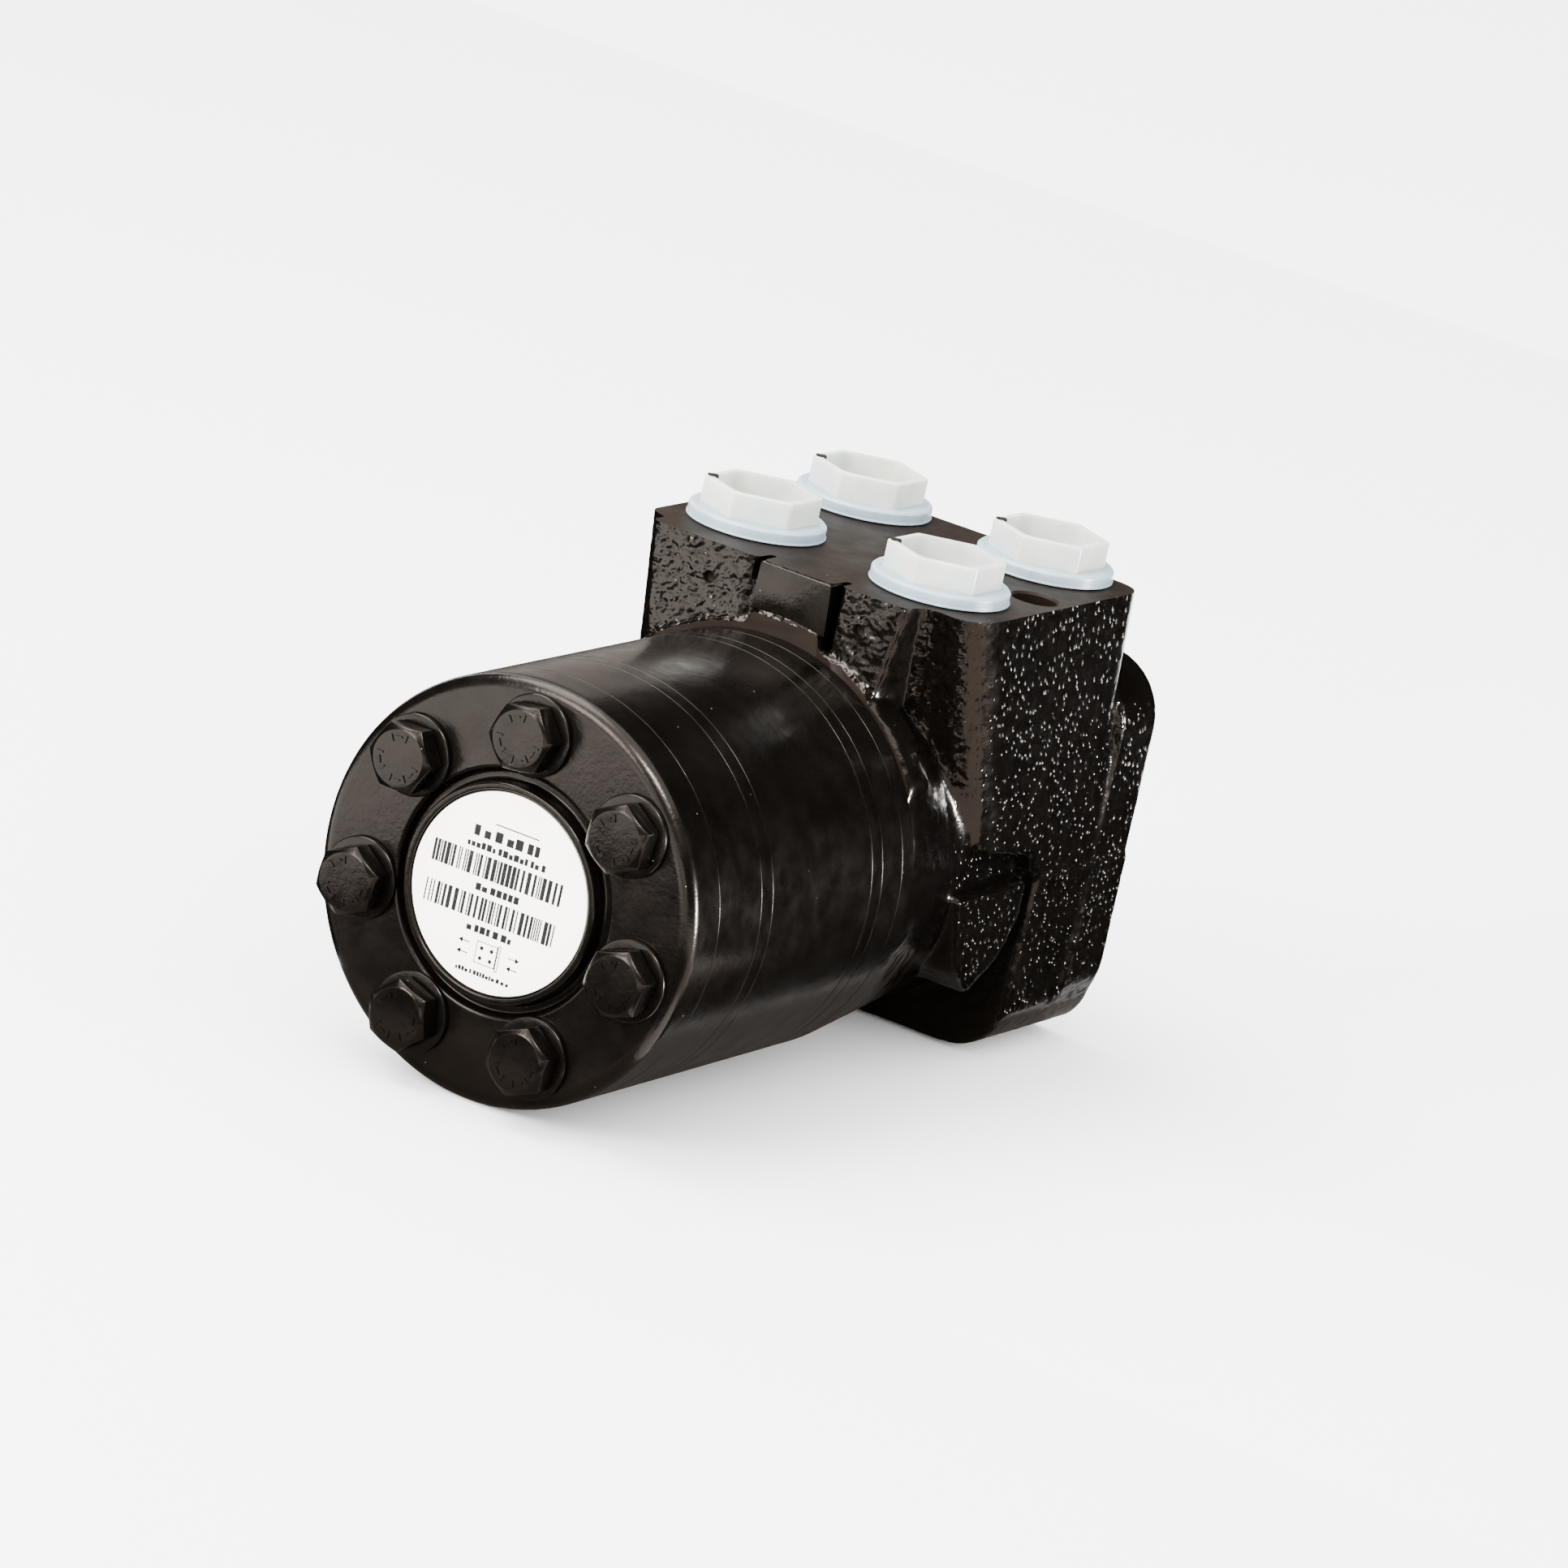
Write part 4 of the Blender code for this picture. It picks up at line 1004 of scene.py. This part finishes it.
def hole_cutters():
    """The bore, and on each side two ports, a port face hole, two column holes and a dimple."""
    port = rounded([(0, 3, 0), (PORT_R + 3.5, 3, 0), (PORT_R, -0.6, 0), (PORT_R, -15, 0), (0, -17, 0)], 2)
    face_hole = [(0, 2), (7.3, 2), (FACE_HOLE_R, -0.5), (FACE_HOLE_R, -14), (0, -16)]
    column_hole = [(0, 2), (6.3, 2), (COLUMN_HOLE_R, -0.5), (COLUMN_HOLE_R, -15), (0, -17)]
    dimple = [(0, -2), (1.5, -2), (1.3, 1.6), (0, 2.1)]
    holes = [bore_cutter()]
    for side in (-1, 1):
        for y in PORT_YS:
            holes.append(seat(lathe("port", port, 96), side * PORT_X, y, PORT_FACE_H, UPRIGHT))
        tool = lathe("face_hole", face_hole, 64)
        holes.append(seat(tool, side * FACE_HOLE_X, FACE_HOLE_Y, PORT_FACE_H, UPRIGHT))
        for level in (-1, 1):
            tool = lathe("column_hole", column_hole, 64)
            holes.append(seat(tool, side * COLUMN_HOLE, Y_REAR, level * COLUMN_HOLE, ALONG_Y))
        holes.append(seat(lathe("dimple", dimple, 24), side * 18.5, BOSS_FRONT, 51))
    return coat(gather("holes", holes), MILLED)


PAD = (-6.6, 10.7, 58.35)      # left, right and top of the smooth pad
PAD_FRONT = 87.5
PAD_UNDER_R = 48.6


def smooth_pad():
    left, right, top = PAD
    outline = rounded([(left, top, 0.5), (left - 0.6, 42, 0), (right + 1.0, 42, 0), (right, top, 0.5)], 4)
    pad = world_slab("pad", outline, PAD_FRONT, 94, "XZ")
    under = seat(lathe("pad_under", [(PAD_UNDER_R, 40), (PAD_UNDER_R, 0), (0, 0), (0, 40)], 192), 0, 60, 0)
    combine(pad, under, "DIFFERENCE")
    bevel(pad, 0.55, 3, 35)
    return coat(pad, GLOSS)


def housing():
    """The casting: one skin round its shells, then the machined faces, holes and the smooth pad."""
    cast = gather("housing_casting", cast_shells())
    remesh = cast.modifiers.new("skin", "REMESH")
    remesh.mode = "VOXEL"
    remesh.voxel_size = VOXEL * MM
    relax = cast.modifiers.new("relax", "SMOOTH")
    relax.factor = 0.5
    relax.iterations = 8
    settle(cast)
    roughen(cast)
    coat(cast, CAST)
    combine(cast, face_cutters(), "DIFFERENCE")
    combine(cast, hole_cutters(), "DIFFERENCE")
    combine(cast, smooth_pad(), "UNION")
    smooth(cast, 40)
    return stand_for(cast, ["housing"], CASING)


# ---------------------------------------------------------------- port plugs

FLANGE_R = 14.75
FLANGE_T = 2.7
PLUG_TOP = 8.3
CUP_CORNER_R = 12.65
WELL_CORNER_R = 11.0


def plug_flange():
    """Flange with a thin rim at its foot, and the stem in the port."""
    rim_r = FLANGE_R + 0.22
    profile = [(0, FLANGE_T, 0), (FLANGE_R - 0.5, FLANGE_T, 0.35), (FLANGE_R, FLANGE_T - 0.5, 0.35),
               (FLANGE_R, 0.35, 0.2), (rim_r, 0.3, 0.08), (rim_r, 0, 0.05), (PORT_R - 0.5, 0, 0.2),
               (PORT_R - 0.7, -10, 0.8), (0, -10, 0)]
    # The flange takes the darker, bluer copy of the plastic: painted shade.
    return coat(lathe("flange", rounded(profile, 4), 128), SHADED_FLANGE_PLASTIC)


def plug_well():
    """Room inside the cup, which narrows to a round hole in the stem."""
    well = slab("well", hexagon(WELL_CORNER_R, 3.6, 8), 2.2, 14)
    profile = [(0, 4, 0), (8.6, 4, 0), (6.9, 0.2, 1.0), (6.9, -6, 1.5), (0, -6, 0)]
    return coat(combine(well, lathe("throat", rounded(profile, 4), 96), "UNION"), LIT_CUP_PLASTIC)


def gate_mark():
    """Dark torn spot on the cup's rim, where the moulding gate was."""
    outline = rounded([(9.6, 1.0, 0.4), (11.9, 0.8, 0.4), (12.1, -0.7, 0.4), (9.9, -1.0, 0.4)], 3)
    gate = coat(slab("gate", outline, PLUG_TOP - 1.0, PLUG_TOP + 0.3), INK)
    gate.data.transform(Matrix.Rotation(2 * pi / 3, 4, "Z"))
    return gate


def plug_mesh():
    """Hollow plug about own Z: flange on the face, hexagon cup above it, stem in the port."""
    cup = slab("cup", hexagon(CUP_CORNER_R, 0.9, 4), 1.0, PLUG_TOP)
    # The cup takes the lighter, warmer copy of the plastic: painted light.
    coat(bevel(cup, 0.35, 3, 40), LIT_CUP_PLASTIC)
    combine(cup, plug_flange(), "UNION")
    combine(cup, plug_well(), "DIFFERENCE")
    nub = lathe("nub", rounded([(0, 3.6, 0), (1.5, 3.4, 0.7), (1.9, -6.6, 0), (0, -6.6, 0)], 4), 32)
    combine(cup, coat(nub, LIT_CUP_PLASTIC), "UNION")
    combine(cup, gate_mark(), "UNION")
    return smooth(cup, 35)


def port_plugs():
    pattern = plug_mesh()
    for node in PLUG_NODES:
        x, _ = middle(node)
        y = sum(span(node)) / 2
        plug = show(f"{node}_cap", pattern.data.copy())
        seat(plug, x, y, PORT_FACE_H + GAP, UPRIGHT, pi / 2)
        stand_for(plug, [node], node.replace("port_plug", "plug"))
    bpy.data.objects.remove(pattern, do_unlink=True)


# ---------------------------------------------------------------- rear end and inner parts

def dust_seal():
    """Rubber wiper ring with a lip towards the shaft."""
    front, rear = span("dust_seal")
    depth = rear - front
    profile = [(16.6, depth, 0.3), (16.6, 0, 0.3), (13.4, 0, 0.3), (13.4, depth - 2.2, 0.2),
               (13.1, depth - 1.4, 0.15), (13.7, depth - 0.2, 0.2), (14.4, depth - 1.2, 0.4),
               (15.4, depth, 0.4)]
    ring = seat(lathe("dust_wiper", rounded(profile, 3), 128), 0, front, 0)
    stand_for(smooth(coat(ring, RUBBER)), ["dust_seal"], CASING)


def carried_over():
    """Inner CAD parts keep their shape and take the detailed finishes."""
    finishes = {"ground_steel": GROUND, "hardened_steel": HARD, "seal_rubber": RUBBER}
    slots = {part["node"]: part["material_slot"] for part in frame["record"]["subparts"]}
    for node, obj in frame["nodes"].items():
        finish = finishes.get(slots[node])
        if finish and not obj.hide_render:
            if not obj.material_slots:
                obj.data.materials.append(finish)
            for slot in obj.material_slots:
                slot.material = finish


# ---------------------------------------------------------------- stage, light and camera

def floor():
    size = 6000
    plane = mesh_object("floor", [(-size, -size, 0), (size, -size, 0), (size, size, 0), (-size, size, 0)],
                        [(0, 1, 2, 3)])
    if plane.data.polygons[0].normal.z < 0:
        plane.data.flip_normals()
    finish = Finish("floor_finish", (0.9, 0.9, 0.9), 0.6)
    finish.paint_color(finish.blend(finish.noise(220, 2), (0.9, 0.9, 0.9), (0.86, 0.86, 0.86)))
    coat(plane, finish.mat)


def area_light(name, location, target, size, energy, color=(1, 1, 1)):
    data = bpy.data.lights.new(name, "AREA")
    data.shape = "RECTANGLE"
    data.size, data.size_y = size
    data.energy = energy
    data.color = color
    lamp = bpy.data.objects.new(name, data)
    bpy.context.scene.collection.objects.link(lamp)
    lamp.location = location
    lamp.rotation_euler = (Vector(target) - Vector(location)).to_track_quat("-Z", "Y").to_euler()
    return lamp


CARD_LIFT = 0.3                # height of the floor cards


def flat_card(left, near, right, far):
    """Corners of a card on the floor, measured like the part from the shaft axis and the cover's face."""
    near += FACE_Y / MM
    far += FACE_Y / MM
    return [(x, y, CARD_LIFT) for x, y in ((left, near), (right, near), (right, far), (left, far))]


def wall_card(ax, ay, bx, by, top, low=0):
    """Corners of an upright card between two points of the floor."""
    return [(ax, ay, low), (bx, by, low), (bx, by, top), (ax, ay, top)]


def studio_card(name, tone, quads):
    """Studio cards that only the reflections in the paint show."""
    finish = Finish(f"{name}_finish", (tone, tone, tone), 0.9, 0.0, 1.01)
    finish.paint_color(finish.blend(finish.noise(300, 2), (tone, tone * 0.88, tone * 0.8),
                                    (tone * 0.9, tone * 0.8, tone * 0.72)))
    faces = [tuple(range(4 * k, 4 * k + 4)) for k in range(len(quads))]
    card = coat(mesh_object(name, [point for quad in quads for point in quad], faces), finish.mat)
    card.visible_camera = False
    card.visible_diffuse = False
    card.visible_shadow = False
    card.visible_transmission = False


def cards():
    """Dark, grey and light surroundings that the paint mirrors on its flanks, corners and cover."""
    studio_card("black_cards", 0.002, [
        flat_card(50, 20, 100, 400), flat_card(100, 130, 220, 980), flat_card(220, 260, 1500, 980),
        flat_card(56, -300, 250, -20), flat_card(-104, -250, 56, -40), flat_card(-430, -37, -62, 980),
        flat_card(-1500, -450, -431, 980), flat_card(0, -1900, 1500, -700),
        wall_card(-380, 900, 1500, 900, 1800), wall_card(1500, 900, 1500, -2000, 1500),
        wall_card(1500, -2000, -1500, -2000, 1500, 500), wall_card(-1500, -2000, -1500, 900, 1500)])
    # The grey card under the part is painted shade: in the paint's reflections it stands for the darker floor
    # round the part's foot.
    studio_card("grey_cards", 0.11, [
        flat_card(-60, -38, 49, 330), wall_card(-1100, 900, -380, 900, 1500), flat_card(220, 190, 1500, 259)])
    studio_card("light_cards", 0.45, [flat_card(100, -20, 1500, 129), flat_card(220, 130, 1500, 189)])


def lights():
    world = bpy.data.worlds.new("studio")
    world.use_nodes = True
    world.node_tree.nodes["Background"].inputs["Color"].default_value = (1.0, 1.0, 1.0, 1)
    world.node_tree.nodes["Background"].inputs["Strength"].default_value = 5.5
    bpy.context.scene.world = world
    area_light("top_soft", (-0.5, -0.3, 1.3), (0, 0, 0.05), (0.9, 0.9), 50)
    area_light("front_soft", (-0.5, -1.6, 0.9), (0, 0, 0.05), (0.9, 0.7), 75)
    strip = area_light("side_strip", (1.1, 0.42, 0.09), (0.04, 0.03, 0.05), (0.07, 0.18), 90)
    strip.visible_diffuse = False
    spot = area_light("rim_soft", (0.5, -0.65, 1.0), (0.03, -0.08, 0.08), (0.36, 0.2), 40)
    spot.visible_diffuse = False


CAMERA_AIM = Vector((0.0222, -0.0221, 0.0660))
CAMERA_DISTANCE = 1.8
CAMERA_AZIMUTH = 28.10
CAMERA_ELEVATION = 15.04
CAMERA_ROLL = -12.47


def camera():
    data = bpy.data.cameras.new("view")
    data.lens = 203.3
    data.sensor_width = 36
    data.clip_start = 0.05
    data.clip_end = 50
    azimuth, elevation = radians(CAMERA_AZIMUTH), radians(CAMERA_ELEVATION)
    ahead = Vector((-sin(azimuth) * cos(elevation), cos(azimuth) * cos(elevation), -sin(elevation)))
    across = ahead.cross(Vector((0, 0, 1))).normalized()
    down = ahead.cross(across)
    right = across * cos(radians(CAMERA_ROLL)) + down * sin(radians(CAMERA_ROLL))
    up = right.cross(ahead)
    view = bpy.data.objects.new("view", data)
    bpy.context.scene.collection.objects.link(view)
    axes = Matrix((right, up, -ahead)).transposed().to_4x4()
    view.matrix_world = Matrix.Translation(CAMERA_AIM - ahead * CAMERA_DISTANCE) @ axes
    bpy.context.scene.camera = view


camera()
lights()
floor()
cards()
end_cover()
cover_screws()
washers()
label()
gear_rim("large_rim_ground", "gear_rim_large")
gear_rim("small_rim_ground", "gear_rim_small")
drilled_plate("front_plate_ground", "front_channel_plate", 11.5, True, False)
drilled_plate("rear_plate_ground", "rear_channel_plate", 11.5, False, True)
drilled_plate("distributor_ground", "distributor_plate", 13.0, True, False)
drilled_plate("valve_body_turned", "changeover_body", 11.5, True, True)
housing()
port_plugs()
dust_seal()
carried_over()
